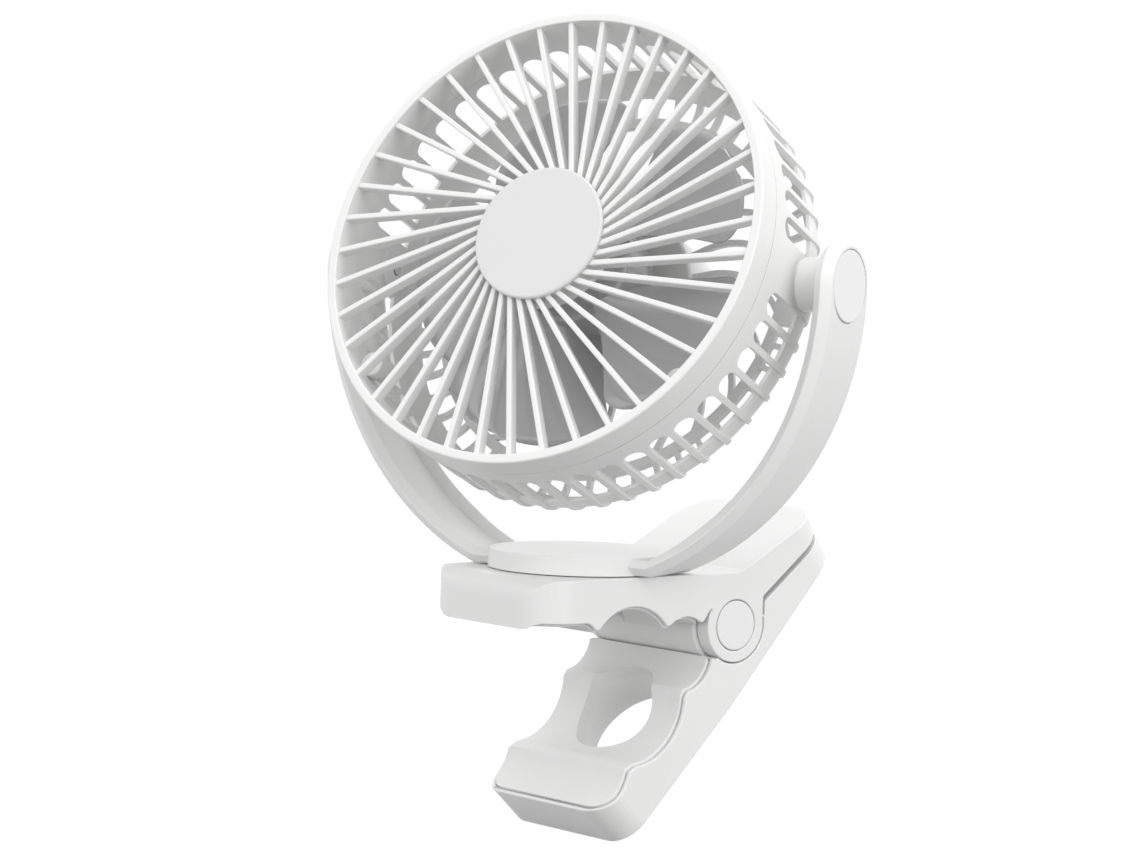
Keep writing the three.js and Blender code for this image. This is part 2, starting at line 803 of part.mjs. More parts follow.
function fanWheel() {
  const skin = 1.4;
  const hub = turned(
    [
      [1.8, WHEEL_FRONT],
      [WHEEL_HUB - 1.6, WHEEL_FRONT],
      [WHEEL_HUB - 0.5, WHEEL_FRONT - 0.5],
      [WHEEL_HUB, WHEEL_FRONT - 1.6],
      [WHEEL_HUB, -5.4],
      [WHEEL_HUB - skin, -5.4],
      [WHEEL_HUB - skin, WHEEL_FRONT - skin - 1.2],
      [5, WHEEL_FRONT - skin - 1.2],
      [5, WHEEL_FRONT - 3.1],
      [1.8, WHEEL_FRONT - 3.1],
    ],
    30,
  );
  const blades = Array.from({ length: BLADES }, (_, k) => clockwise(blade(), BLADE_PHASE + (360 / BLADES) * k));
  // The blades start inside the hub's wall and are trimmed flush with its inner face.
  const inside = rod("y", WHEEL_HUB - skin, -WHEEL_FRONT + 2.6, 20, [0, 0], 30);
  return cut(joined(blades), [inside]).add(hub);
}

// ---------------------------------------------------------------- yoke

// The channel's section as [distance in from the outer face, half-width], one side of it.
function channelSection(depth = CHANNEL_DEPTH) {
  const half = [
    [0, CHANNEL_FACE],
    [3, CHANNEL_RIDGE],
    [depth, CHANNEL_LIP],
    [depth, CHANNEL_LIP - 0.75],
    [CHANNEL_SKIN, CHANNEL_FACE - 1.1],
  ];
  return [...half, ...half.map(([inset, side]) => [inset, -side]).reverse()];
}

function yokeChannel() {
  const cosFoot = (TILT_HEIGHT - YOKE_FLOOR) / YOKE_DROP;
  const foot = -Math.asin(cosFoot); // angle on the ellipse where the flat underside begins
  const steps = 13;
  const station = (share, side) => {
    const angle = foot * share;
    const [c, s] = [Math.cos(angle), Math.sin(angle)];
    const normal = new THREE.Vector2(c / YOKE_HALF_WIDTH, s / YOKE_DROP).normalize();
    if (share === 1) normal.add(new THREE.Vector2(0, -1)).normalize();
    const depth = CHANNEL_DEPTH - Math.max(0, share - 0.8) * 5;
    return channelSection(depth).map(([inset, y]) => [
      side * (YOKE_HALF_WIDTH * c - normal.x * inset),
      side * y,
      TILT_HEIGHT + YOKE_DROP * s - normal.y * inset,
    ]);
  };
  const half = (side) => Array.from({ length: steps + 1 }, (_, i) => station(i / steps, side));
  const left = half(-1).map((ring) => ring.map(([x, y, z]) => [x, -y, z]));
  return loft([...half(1), ...left.reverse()]);
}

function yokeEnd(side) {
  const x = YOKE_HALF_WIDTH;
  const profile = [
    [0, x],
    [CHANNEL_FACE, x],
    [CHANNEL_RIDGE, x - 3],
    [CHANNEL_LIP, x - CHANNEL_DEPTH],
    [CHANNEL_LIP - 0.75, x - CHANNEL_DEPTH],
    [CHANNEL_FACE - 1.1, x - CHANNEL_SKIN],
    [0, x - CHANNEL_SKIN],
  ];
  const round = solid(turnedGeometry(profile, 32).rotateZ(side > 0 ? -Math.PI / 2 : Math.PI / 2));
  return solid(geometryOf(round).translate(0, 0, TILT_HEIGHT)).intersect(
    block([-120, -30, TILT_HEIGHT - 0.02], [120, 30, TILT_HEIGHT + 30]),
  );
}

function yoke() {
  const base = solid(
    turnedGeometry(
      [
        [0, GAP],
        [BASE_RADIUS, GAP],
        [BASE_RADIUS, BASE_TOP - 0.6],
        [BASE_RADIUS - 0.6, BASE_TOP],
        [0, BASE_TOP],
      ],
      48,
    ).rotateX(Math.PI / 2),
  );
  const spigot = rod("z", SWIVEL.spigot, -SWIVEL.floor, BASE_TOP - 1, [0, 0], 20);
  const bosses = [-1, 1].map((side) => {
    const [from, to] = between(side, YOKE_HALF_WIDTH - CHANNEL_DEPTH, YOKE_HALF_WIDTH - 1);
    return rod("x", PIVOT.bossRadius, from, to, [0, TILT_HEIGHT], 24);
  });
  const holes = [-1, 1].flatMap((side) => {
    const [capFrom, capTo] = between(side, YOKE_HALF_WIDTH - 1.3, YOKE_HALF_WIDTH + 1);
    const [headFrom, headTo] = between(side, PIVOT.headStart - GAP, YOKE_HALF_WIDTH + 1);
    const [boreFrom, boreTo] = between(side, 80, 100);
    return [
      rod("x", CAP_RADIUS + GAP, capFrom, capTo, [0, TILT_HEIGHT], 32),
      rod("x", PIVOT.headRadius + 0.5, headFrom, headTo, [0, TILT_HEIGHT], 16),
      rod("x", PIVOT.bore, boreFrom, boreTo, [0, TILT_HEIGHT], 12),
    ];
  });
  const thread = rod("z", SWIVEL.shank + GAP, -SWIVEL.floor - 1, 2.4, [0, 0], 12);
  return cut(joined([yokeChannel(), yokeEnd(1), yokeEnd(-1), base, spigot, ...bosses]), [...holes, thread]);
}

function armCap(side) {
  const [from, to] = between(side, YOKE_HALF_WIDTH - 1, YOKE_HALF_WIDTH + 0.05);
  return rod("x", CAP_RADIUS, from, to, [0, TILT_HEIGHT], 32);
}

// ---------------------------------------------------------------- swivel under the clip's top

function swivelWasher() {
  const top = -SWIVEL.floor - GAP;
  const disc = rod("z", SWIVEL.washer, top - SWIVEL.washerThick, top, [0, 0], 24);
  return cut(disc, [rod("z", SWIVEL.shank + GAP, top - 3, top + 1, [0, 0], 12)]);
}

function swivelScrew() {
  const under = -SWIVEL.floor - 2 * GAP - SWIVEL.washerThick;
  const head = rod("z", SWIVEL.head, under - SWIVEL.headThick, under, [0, 0], 20);
  const recess = rod("z", 2.2, under - SWIVEL.headThick - 1, under - SWIVEL.headThick + 1.6, [0, 0], 6);
  return cut(head.add(rod("z", SWIVEL.shank, under - 0.5, 1.6, [0, 0], 10)), [recess]);
}

function swivelGlide() {
  const ring = rod("z", SWIVEL.glideOut, -0.9, 0.05, [0, 0], 36);
  return cut(ring, [rod("z", SWIVEL.glideIn, -2, 1, [0, 0], 24)]);
}

// ---------------------------------------------------------------- clip

// Underside of the upper jaw in Y-Z from front to back, lifted by an offset.
function upperJawLine(lift) {
  return [
    [-33.2, -16.6 + lift],
    ...bend([-32.4, -15.6 + lift], [-30, REST_PAD_Z + lift], 0.3, 2),
    ...bend([-23, REST_PAD_Z + lift], [-18.9, -17.2 + lift], 0.5, 3),
    ...bend([-17.3, -17.2 + lift], [11.4, -17.3 + lift], 6.9, 8),
    ...bend([12.8, -17.3 + lift], [26.2, -16.9 + lift], 2.4, 4),
  ];
}

// Pad side of the lower jaw in Y-Z from the hinge to the tip, moved into the lever by an offset.
function lowerJawLine(drop) {
  const deeper = ([y, z]) => [y + drop * 0.71, z - drop * 0.71];
  return [
    ...bend([30.9, -27.4], [21, -37.6], 2.3, 4),
    ...bend([19.6, -39.6], [-0.3, -60.7], 5.6, 8),
    ...bend([-3.4, -62.3], [-10, -71.4], 1.75, 3),
  ].map(deeper);
}

function upperLever() {
  const side = [
    ...arc([-27, -7], 7, 180, 90, 4),
    [HANDLE_START - 1.2, 0],
    [HANDLE_START, 0.4],
    ...bend([71.2, 17.4], [72.5, 17.1], 0.4, 3),
    [75.4, 12.4],
    [75.3, 7.7],
    [53.9, -8.3],
    [53.6, -15],
    [30, -12],
    [27.6, -15.4],
    ...upperJawLine(NEAR_EDGE).reverse(),
    [-34, -17.3],
  ];
  const outline = alongX(side, -CLIP_HALF, CLIP_HALF);
  const corners = alongZ(plan(CLIP_HALF, -34, UPPER_REAR, FRONT_CORNER, REAR_CORNER), -40, 40);
  const ears = [-1, 1].map((s) => {
    const [from, to] = between(s, CLIP_HALF - CHEEK, CLIP_HALF);
    return rod("x", EAR_RADIUS, from, to, [PINCH_Y, PINCH_Z], 32);
  });
  const inner = CLIP_HALF - CHEEK + GAP;
  const room = rod("x", BARREL_RADIUS + 1.1, -inner, inner, [PINCH_Y, PINCH_Z], 32);
  const padSeat = upperPadBlock(GAP, PAD_RIM);
  const pinHoles = [
    rod("x", PIN_RADIUS + GAP, -40, 40, [PINCH_Y, PINCH_Z], 20),
    ...[-1, 1].map((s) => {
      const [from, to] = between(s, CLIP_HALF - 1.8, CLIP_HALF + 1);
      return rod("x", PIN_CAP + GAP, from, to, [PINCH_Y, PINCH_Z], 28);
    }),
  ];
  const swivelHole = rod("z", SWIVEL.spigot + GAP, -30, 5, [0, 0], 20);
  const well = rod("z", SWIVEL.well, -30, -SWIVEL.floor, [0, 0], 32);
  const glideSeat = cut(rod("z", SWIVEL.glideOut + GAP, -1.2, 1, [0, 0], 36), [
    rod("z", SWIVEL.glideIn - GAP, -3, 3, [0, 0], 24),
  ]);
  return cut(joined([outline.intersect(corners), ...ears]), [
    room,
    padSeat,
    ...pinHoles,
    swivelHole,
    well,
    glideSeat,
  ]);
}

// The upper pad's solid, grown by a margin for its seat.
function upperPadBlock(margin, rim) {
  const half = CLIP_HALF - rim - GAP + margin;
  const line = upperJawLine(0).slice(1);
  const [front, back] = [line[0][0] - margin, line.at(-1)[0] + margin];
  const top = line.map(([y, z]) => [y, z + PAD_THICK + margin]);
  const section = [[front, line[0][1] - 3], ...line.slice(1, -1).map(([y]) => [y, -22]), [back, -22]];
  const seat = [...section, [back, top.at(-1)[1]], ...top.slice(1, -1).reverse(), [front, top[0][1]]];
  const own = [...line, [back, top.at(-1)[1]], ...top.slice(1, -1).reverse(), [front, top[0][1]]];
  const outline = alongX(margin > 0 ? seat : own, -half, half);
  return outline.intersect(alongZ(plan(half, front, back, PAD_CORNER, 1.2), -40, 10));
}

function upperPad() {
  return cut(upperPadBlock(0, PAD_RIM), [rod("z", SWIVEL.well + 0.4, -40, 10, [0, 0], 32)]);
}

// A frame whose X is the clip's X, whose Y runs down the open lower lever and whose Z points out of it.
function jawFrame() {
  const slope = JAW_SLOPE * DEG;
  const along = new THREE.Vector3(0, -Math.cos(slope), -Math.sin(slope));
  const out = new THREE.Vector3(0, Math.sin(slope), -Math.cos(slope));
  return new THREE.Matrix4()
    .makeBasis(new THREE.Vector3(1, 0, 0), along, out)
    .setPosition(0, PINCH_Y, PINCH_Z);
}

function alongJaw(points, from, to) {
  return solid(geometryOf(alongZ(points, from, to)).applyMatrix4(jawFrame()));
}

function lowerLeverOutline() {
  return [
    [54.4, -9.2],
    [75.9, 6.9],
    [76.3, 11.3],
    ...bend([82.2, 4.2], [81.6, 0.3], 0.8, 4),
    [41.3, -43.8],
    ...bend([3.7, -84], [1.3, -84.4], 0.4, 3),
    [-10.9, -72.8],
    ...lowerJawLine(NEAR_EDGE).reverse(),
    [33.4, -28.6],
    [PINCH_Y, PINCH_Z],
    [54.3, -15.2],
  ];
}

function lowerPadBlock(margin, rim) {
  const half = CLIP_HALF - rim - GAP + margin;
  const face = lowerJawLine(0);
  const deep = ([y, z]) => [y + (PAD_THICK + margin) * 0.71, z - (PAD_THICK + margin) * 0.71];
  const raised = ([y, z]) => [y - 6, z + 6];
  const tipEdge = [-10 - margin * 0.7, -71.4 - margin * 0.7];
  const rootEdge = [30.9 + margin * 0.7, -27.4 + margin * 0.7];
  const inner = [...face.map(deep)];
  const outer = margin > 0 ? face.map(raised) : face;
  const outline = [...outer, ...(margin > 0 ? [raised(tipEdge), tipEdge, deep(tipEdge)] : []), ...inner.reverse()];
  if (margin > 0) outline.push(deep(rootEdge), rootEdge, raised(rootEdge));
  const ends = [outlineReach(rootEdge), outlineReach(tipEdge)];
  return alongX(outline, -half, half).intersect(alongJaw(plan(half, ends[0], ends[1], 1.2, PAD_CORNER), -60, 60));
}

// How far a Y-Z point lies along the lower lever from the pin.
function outlineReach([y, z]) {
  const slope = JAW_SLOPE * DEG;
  return (PINCH_Y - y) * Math.cos(slope) + (PINCH_Z - z) * Math.sin(slope);
}

function jawHole(radius) {
  return alongJaw(plan(radius, HOLE_REACH - radius, HOLE_REACH + radius, radius, radius, 7), -30, 60);
}

function lowerLever() {
  const body = alongX(lowerLeverOutline(), -CLIP_HALF, CLIP_HALF).intersect(
    alongJaw(plan(CLIP_HALF, LEVER_REAR, LEVER_TIP, REAR_CORNER, FRONT_CORNER), -60, 60),
  );
  const inner = CLIP_HALF - CHEEK;
  const barrel = rod("x", BARREL_RADIUS, -inner, inner, [PINCH_Y, PINCH_Z], 32);
  const earRooms = [-1, 1].map((side) => {
    const [from, to] = between(side, inner, CLIP_HALF + 1);
    return rod("x", EAR_RADIUS + 0.4, from, to, [PINCH_Y, PINCH_Z], 32);
  });
  const springRoom = rod("x", SPRING.room, -SPRING.half - 0.6, SPRING.half + 0.6, [PINCH_Y, PINCH_Z], 20);
  const springMouth = block(
    [-SPRING.half - 0.6, PINCH_Y - 2, PINCH_Z],
    [SPRING.half + 0.6, PINCH_Y + SPRING.room, PINCH_Z + BARREL_RADIUS + 2],
  );
  return cut(body.add(barrel), [
    ...earRooms,
    springRoom,
    springMouth,
    rod("x", PIN_RADIUS + GAP, -40, 40, [PINCH_Y, PINCH_Z], 20),
    lowerPadBlock(GAP, PAD_RIM),
    jawHole(HOLE_RADIUS),
  ]);
}

function lowerPad() {
  return cut(lowerPadBlock(0, PAD_RIM), [jawHole(HOLE_RADIUS - 0.2)]);
}

function hingePin() {
  const half = CLIP_HALF - 2.1;
  return rod("x", PIN_RADIUS, -half, half, [PINCH_Y, PINCH_Z], 20);
}

function pinCap(side) {
  const [from, to] = between(side, CLIP_HALF - 1.5, CLIP_HALF);
  return rod("x", PIN_CAP, from, to, [PINCH_Y, PINCH_Z], 28);
}

// The spring round the pin: turns of wire with a short straight leg at each end.
function torsionSpring() {
  const perTurn = 12;
  const sides = 5;
  const steps = SPRING.turns * perTurn;
  const length = 2 * (SPRING.half - 2);
  const rings = Array.from({ length: steps + 1 }, (_, i) => {
    const angle = (i / perTurn) * 2 * Math.PI + Math.PI / 2;
    const x = -length / 2 + (length * i) / steps;
    return Array.from({ length: sides }, (_, k) => {
      const around = (k / sides) * 2 * Math.PI;
      const radius = SPRING.coil + SPRING.wire * Math.cos(around);
      return [
        x + SPRING.wire * Math.sin(around),
        PINCH_Y + radius * Math.cos(angle),
        PINCH_Z + radius * Math.sin(angle),
      ];
    });
  });
  return loft(rings);
}

// ---------------------------------------------------------------- assembly

const head = new THREE.Group();
head.position.z = TILT_HEIGHT;
head.rotation.x = -TILT_UP * DEG;
head.add(
  piece("front_grille", frontGrille(), WHITE),
  piece("hub_cap", hubCap(), WHITE_CAP),
  piece("rear_cage", rearCage(), WHITE),
  piece("rear_cover", rearCover(), WHITE),
  piece("power_button", powerButton(), WHITE_CAP),
  piece("indicator_lens", indicatorLens(), LAMP),
  piece("circuit_board", circuitBoard(), DARK_BOARD),
  piece("usb_port", usbPort(), STEEL),
  piece("battery_cell", batteryCell(), FOIL),
  piece("pivot_collar_right", pivotCollar(1), WHITE),
  piece("pivot_collar_left", pivotCollar(-1), WHITE),
  piece("friction_washer_right", frictionWasher(1), STEEL),
  piece("friction_washer_left", frictionWasher(-1), STEEL),
  piece("stator_core", statorCore(), STEEL),
  piece("windings", windings(), COPPER),
  piece("bearing_front", bearing(6), STEEL),
  piece("bearing_rear", bearing(-11.4), STEEL),
);

const wheel = new THREE.Group();
wheel.add(
  piece("fan_wheel", fanWheel(), WHEEL_WHITE),
  piece("rotor_cup", rotorCup(), STEEL),
  piece("rotor_magnet", rotorMagnet(), FOIL),
  piece("motor_shaft", motorShaft(), STEEL),
);
head.add(wheel);

// The pivot screws stand still in the yoke's arms, on the tilt axis.
const pivotScrews = new THREE.Group();
pivotScrews.position.z = TILT_HEIGHT;
pivotScrews.add(
  piece("pivot_screw_right", pivotScrew(1), STEEL),
  piece("pivot_screw_left", pivotScrew(-1), STEEL),
);

const turning = new THREE.Group();
turning.rotation.z = SWIVEL_TURN * DEG;
turning.add(
  piece("yoke", yoke(), WHITE),
  piece("arm_cap_right", armCap(1), WHITE_CAP),
  piece("arm_cap_left", armCap(-1), WHITE_CAP),
  piece("swivel_screw", swivelScrew(), STEEL),
  piece("swivel_washer", swivelWasher(), STEEL),
  pivotScrews,
  head,
);

const clip = new THREE.Group();
clip.add(
  piece("upper_lever", upperLever(), WHITE),
  piece("upper_pad", upperPad(), SOFT_WHITE),
  piece("lower_lever", lowerLever(), WHITE),
  piece("lower_pad", lowerPad(), SOFT_WHITE),
  piece("hinge_pin", hingePin(), STEEL),
  piece("pin_cap_right", pinCap(1), WHITE_CAP),
  piece("pin_cap_left", pinCap(-1), WHITE_CAP),
  piece("torsion_spring", torsionSpring(), STEEL),
  piece("swivel_glide", swivelGlide(), SOFT_WHITE),
);

const clipFan = new THREE.Group();
clipFan.position.set(0, -REST_PAD_Y, -REST_PAD_Z);
clipFan.add(turning, clip);

export default clipFan;
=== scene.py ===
"""Looks of the clip fan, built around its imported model.

Sizes are in millimetres, each in its own sub-assembly's frame, and a Place carries them into the row frame.
The fan's depth grows towards its front, and its angles run clockwise from the top as seen from the front.
"""

import logging
import math
from collections.abc import Callable, Iterable, Sequence
from dataclasses import dataclass
from enum import Enum

import bmesh
import bpy
from mathutils import Matrix, Vector


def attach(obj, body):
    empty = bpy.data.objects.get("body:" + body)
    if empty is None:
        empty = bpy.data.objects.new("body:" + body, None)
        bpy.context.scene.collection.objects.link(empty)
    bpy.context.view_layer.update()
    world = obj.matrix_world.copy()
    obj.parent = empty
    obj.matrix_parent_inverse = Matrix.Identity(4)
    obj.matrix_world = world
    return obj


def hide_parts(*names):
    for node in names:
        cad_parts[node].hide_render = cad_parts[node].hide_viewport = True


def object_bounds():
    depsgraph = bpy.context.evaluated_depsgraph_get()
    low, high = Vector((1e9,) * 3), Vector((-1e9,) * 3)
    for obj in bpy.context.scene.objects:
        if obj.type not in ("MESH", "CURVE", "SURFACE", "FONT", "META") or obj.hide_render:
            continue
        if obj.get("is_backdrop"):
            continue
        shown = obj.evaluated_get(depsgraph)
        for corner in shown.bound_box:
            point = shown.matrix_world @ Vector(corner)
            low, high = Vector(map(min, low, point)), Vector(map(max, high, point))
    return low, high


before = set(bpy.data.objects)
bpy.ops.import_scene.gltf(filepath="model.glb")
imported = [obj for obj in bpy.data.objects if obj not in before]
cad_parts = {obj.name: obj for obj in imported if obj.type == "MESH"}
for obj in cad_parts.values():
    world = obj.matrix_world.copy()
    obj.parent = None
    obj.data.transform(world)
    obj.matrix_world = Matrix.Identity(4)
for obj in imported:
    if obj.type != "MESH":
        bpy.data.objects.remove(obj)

log = logging.getLogger("clip_fan")

Point = tuple[float, float]
Point3 = tuple[float, float, float]
Colour = tuple[float, float, float]
Piece = bpy.types.Object
Nodes = bpy.types.Nodes
Links = bpy.types.NodeLinks
Socket = bpy.types.NodeSocket

MM = 0.001

# The pose that the photograph shows, and where the clip's top face lies in the row frame.
TILT_HEIGHT = 95.9
TILT_CENTRE = (0.0, 0.0, TILT_HEIGHT)
TILT_UP = 22.6
SWIVEL_TURN = 20.0
CLIP_ORIGIN = (0.0, 26.5, 14.8)

# Sizes that the head's two shells share.
RIM_RADIUS = 78.2
MOUTH_RADIUS = 75.1
SEAM = 25.5
LOBE_ANGLE = 128.0
LOBE_CENTRE = MOUTH_RADIUS - 3.3

# The gap between parts that fit into each other, and the inner end of a solid turned form.
GAP = 0.3
ON_AXIS = 0.01

# A step along each of two axes for a step of 1 between them.
DIAGONAL = 0.71

# Edges that turn by more than this are shaded sharp.
CREASE = math.radians(38)


class Place(Enum):
    """A sub-assembly's own frame: the clip's top, the turned yoke, or the fan's axis at the tilt axis."""

    CLIP = "clip"
    YOKE = "yoke"
    HEAD = "head"

    @property
    def matrix(self) -> Matrix:
        """The matrix from this frame in millimetres to the row frame in metres.

        Returns:
            The matrix that a point of this frame is multiplied by.
        """
        out = Matrix.Scale(MM, 4) @ Matrix.Translation(CLIP_ORIGIN)
        if self is Place.CLIP:
            return out
        out = out @ Matrix.Rotation(math.radians(SWIVEL_TURN), 4, "Z")
        if self is Place.YOKE:
            return out
        return out @ Matrix.Translation(TILT_CENTRE) @ Matrix.Rotation(math.radians(-TILT_UP), 4, "X")


class Axis(Enum):
    """The line that a turned form turns about."""

    FRONT = "front"
    ACROSS = "across"
    UP = "up"

    def point(self, angle: float, radius: float, height: float) -> Point3:
        """Gives a point round this axis.

        Args:
            angle: Turn about the axis, in radians.
            radius: Distance from the axis.
            height: Distance along the axis, towards the front, the right or up.

        Returns:
            The point in the frame of its place.
        """
        side, top = radius * math.sin(angle), radius * math.cos(angle)
        if self is Axis.FRONT:
            return (side, -height, top)
        if self is Axis.ACROSS:
            return (height, side, top)
        return (side, top, height)


class Merge(Enum):
    """What a boolean does with the second solid."""

    CUT = "DIFFERENCE"
    JOIN = "UNION"
    KEEP_COMMON = "INTERSECT"


# ---------------------------------------------------------------- outlines


def arc(centre: Point, radius: float, start: float, end: float, steps: int = 8) -> list[Point]:
    """Points along an arc, with its angles in degrees.

    Args:
        centre: The arc's centre.
        radius: Its radius.
        start: The angle of the first point.
        end: The angle of the last point.
        steps: How many stretches the arc has.

    Returns:
        The points, first and last included.
    """
    angles = (math.radians(start + (end - start) * i / steps) for i in range(steps + 1))
    return [(centre[0] + radius * math.cos(a), centre[1] + radius * math.sin(a)) for a in angles]


def bend(first: Point, last: Point, sag: float, steps: int = 12) -> list[Point]:
    """Points of a round stretch that bulges to the left of the way from first to last.

    Args:
        first: Where it starts.
        last: Where it ends.
        sag: How far its middle stands off the straight line.
        steps: How many stretches it has.

    Returns:
        The points, first and last included.
    """
    way = Vector(last) - Vector(first)
    chord = way.length
    radius = chord * chord / (8 * sag) + sag / 2
    side = Vector((way.y, -way.x)) / chord
    centre = (Vector(first) + Vector(last)) / 2 + side * (radius - sag)
    start = math.degrees(math.atan2(first[1] - centre.y, first[0] - centre.x))
    span = -2 * math.degrees(math.asin(chord / (2 * radius)))
    return arc((centre.x, centre.y), radius, start, start + span, steps)


def rounded(points: Sequence[Point], radius: float | Sequence[float], steps: int = 4) -> list[Point]:
    """A closed outline with its corners rounded.

    Args:
        points: The outline's corners.
        radius: One radius for all corners, or one for each.
        steps: How many stretches each rounding has.

    Returns:
        The rounded outline, with the same number of points for the same corners and steps.
    """
    radii = [radius] * len(points) if isinstance(radius, (int, float)) else list(radius)
    out: list[Point] = []
    for i, (corner, wanted) in enumerate(zip(points, radii)):
        here = Vector(corner)
        back, ahead = Vector(points[i - 1]) - here, Vector(points[(i + 1) % len(points)]) - here
        if wanted <= 0:
            out.append(corner)
            continue
        half = back.angle(ahead) / 2
        reach = min(wanted / math.tan(half), 0.49 * back.length, 0.49 * ahead.length)
        true_radius = reach * math.tan(half)
        u, v = back.normalized(), ahead.normalized()
        centre = here + (u + v).normalized() * (true_radius / math.sin(half))
        spoke, last = here + u * reach - centre, here + v * reach - centre
        turn = math.atan2(spoke.cross(last), spoke.dot(last))
        for k in range(steps + 1):
            tip = Matrix.Rotation(turn * k / steps, 2) @ spoke
            out.append((centre.x + tip.x, centre.y + tip.y))
    return out


def plan(half: float, low: float, high: float, low_radius: float, high_radius: float) -> list[Point]:
    """A rectangle about the first axis, with its own rounding at each end of the second.

    Args:
        half: Half its width.
        low: Where it starts on the second axis.
        high: Where it ends.
        low_radius: Rounding of the two corners at its start.
        high_radius: Rounding of the two corners at its end.

    Returns:
        The outline.
    """
    return [
        *arc((half - high_radius, high - high_radius), high_radius, 0, 90),
        *arc((-half + high_radius, high - high_radius), high_radius, 90, 180),
        *arc((-half + low_radius, low + low_radius), low_radius, 180, 270),
        *arc((half - low_radius, low + low_radius), low_radius, 270, 360),
    ]


def straight(inner: float, outer: float, start: float, end: float) -> list[Point]:
    """The profile of a turned form with straight sides.

    Args:
        inner: The radius of its bore, or ON_AXIS for a solid form.
        outer: Its outer radius.
        start: Where it starts along its axis.
        end: Where it ends.

    Returns:
        Its corners as radius and height, with the two at its start first.
    """
    return [(inner, start), (outer, start), (outer, end), (inner, end)]


# ---------------------------------------------------------------- meshes


class Skin:
    """Faces gathered in one place's frame, which become one object."""

    def __init__(self, place: Place) -> None:
        """Starts an empty skin in a place's frame."""
        self.place = place
        self.mesh = bmesh.new()

    def face(self, points: Iterable[Point3]) -> None:
        """Adds one face with corners of its own."""
        self.mesh.faces.new([self.mesh.verts.new(point) for point in points])

    def rings(self, rings: Sequence[Sequence[Point3]], wrap: bool = False, cap: bool = True) -> None:
        """Joins closed rings of points, each with as many points as the others.

        Args:
            rings: The rings in order.
            wrap: Whether the last ring joins the first.
            cap: Whether the first and the last ring are filled.
        """
        rows = [[self.mesh.verts.new(point) for point in ring] for ring in rings]
        pairs = list(zip(rows, rows[1:]))
        if wrap:
            pairs.append((rows[-1], rows[0]))
        for row, following in pairs:
            for i in range(len(row)):
                j = (i + 1) % len(row)
                self.mesh.faces.new((row[i], row[j], following[j], following[i]))
        if cap and not wrap:
            self.mesh.faces.new(rows[0])
            self.mesh.faces.new(rows[-1])

    def turned(
        self,
        profile: Sequence[Point],
        axis: Axis,
        facets: int = 96,
        hollow: bool = False,
        centre: Point3 = (0.0, 0.0, 0.0),
    ) -> None:
        """Adds a turned form.

        Args:
            profile: Points as radius and height. Both ends of a solid form are filled flat.
            axis: What it turns about.
            facets: How many flats go round it.
            hollow: Whether the profile is a closed outline that stays off the axis.
            centre: Where the axis passes.
        """
        shift = Vector(centre)
        angles = [2 * math.pi * k / facets for k in range(facets)]
        rings = [
            [tuple(Vector(axis.point(angle, radius, height)) + shift) for angle in angles]
            for radius, height in profile
        ]
        self.rings(rings, wrap=hollow)

    def drawn(
        self,
        outline: Sequence[Point],
        start: float,
        end: float,
        to_point: Callable[[Point, float], Point3],
    ) -> None:
        """Adds an outline that is drawn from one level to another.

        Args:
            outline: The closed outline.
            start: The first level.
            end: The last level.
            to_point: Turns a point of the outline and a level into a point in space.
        """
        self.rings([[to_point(point, level) for point in outline] for level in (start, end)])

    def turn_about_fan(self, degrees: float, first: int) -> None:
        """Turns the corners made since a count clockwise about the fan's axis.

        Args:
            degrees: How far, as seen from the front.
            first: How many corners there were before.
        """
        self.mesh.verts.ensure_lookup_table()
        turn = Matrix.Rotation(math.radians(degrees), 4, "Y")
        for corner in self.mesh.verts[first:]:
            corner.co = turn @ corner.co

    def made(self, name: str) -> Piece:
        """Turns the skin into an object.

        Args:
            name: The object's name.

        Returns:
            The object, at the origin, with its mesh in the row frame.
        """
        bmesh.ops.remove_doubles(self.mesh, verts=self.mesh.verts, dist=0.002)
        bmesh.ops.recalc_face_normals(self.mesh, faces=self.mesh.faces)
        bmesh.ops.transform(self.mesh, matrix=self.place.matrix, verts=self.mesh.verts)
        data = bpy.data.meshes.new(name)
        self.mesh.to_mesh(data)
        self.mesh.free()
        made = bpy.data.objects.new(name, data)
        bpy.context.scene.collection.objects.link(made)
        return made


def turned_piece(
    name: str,
    place: Place,
    profile: Sequence[Point],
    axis: Axis,
    facets: int = 96,
    hollow: bool = False,
    centre: Point3 = (0.0, 0.0, 0.0),
) -> Piece:
    """Makes an object of one turned form.

    Args:
        name: The object's name.
        place: The frame of its sizes.
        profile: Points as radius and height.
        axis: What it turns about.
        facets: How many flats go round it.
        hollow: Whether the profile is a closed outline that stays off the axis.
        centre: Where the axis passes.

    Returns:
        The object.
    """
    skin = Skin(place)
    skin.turned(profile, axis, facets, hollow, centre)
    return skin.made(name)


def drawn_piece(
    name: str,
    place: Place,
    outline: Sequence[Point],
    start: float,
    end: float,
    to_point: Callable[[Point, float], Point3],
) -> Piece:
    """Makes an object of one outline that is drawn from one level to another.

    Args:
        name: The object's name.
        place: The frame of its sizes.
        outline: The closed outline.
        start: The first level.
        end: The last level.
        to_point: Turns a point of the outline and a level into a point in space.

    Returns:
        The object.
    """
    skin = Skin(place)
    skin.drawn(outline, start, end, to_point)
    return skin.made(name)


def along_x(point: Point, level: float) -> Point3:
    """A point of a Y-Z outline at a place along X."""
    return (level, point[0], point[1])


def along_z(point: Point, level: float) -> Point3:
    """A point of an X-Y outline at a height."""
    return (point[0], point[1], level)


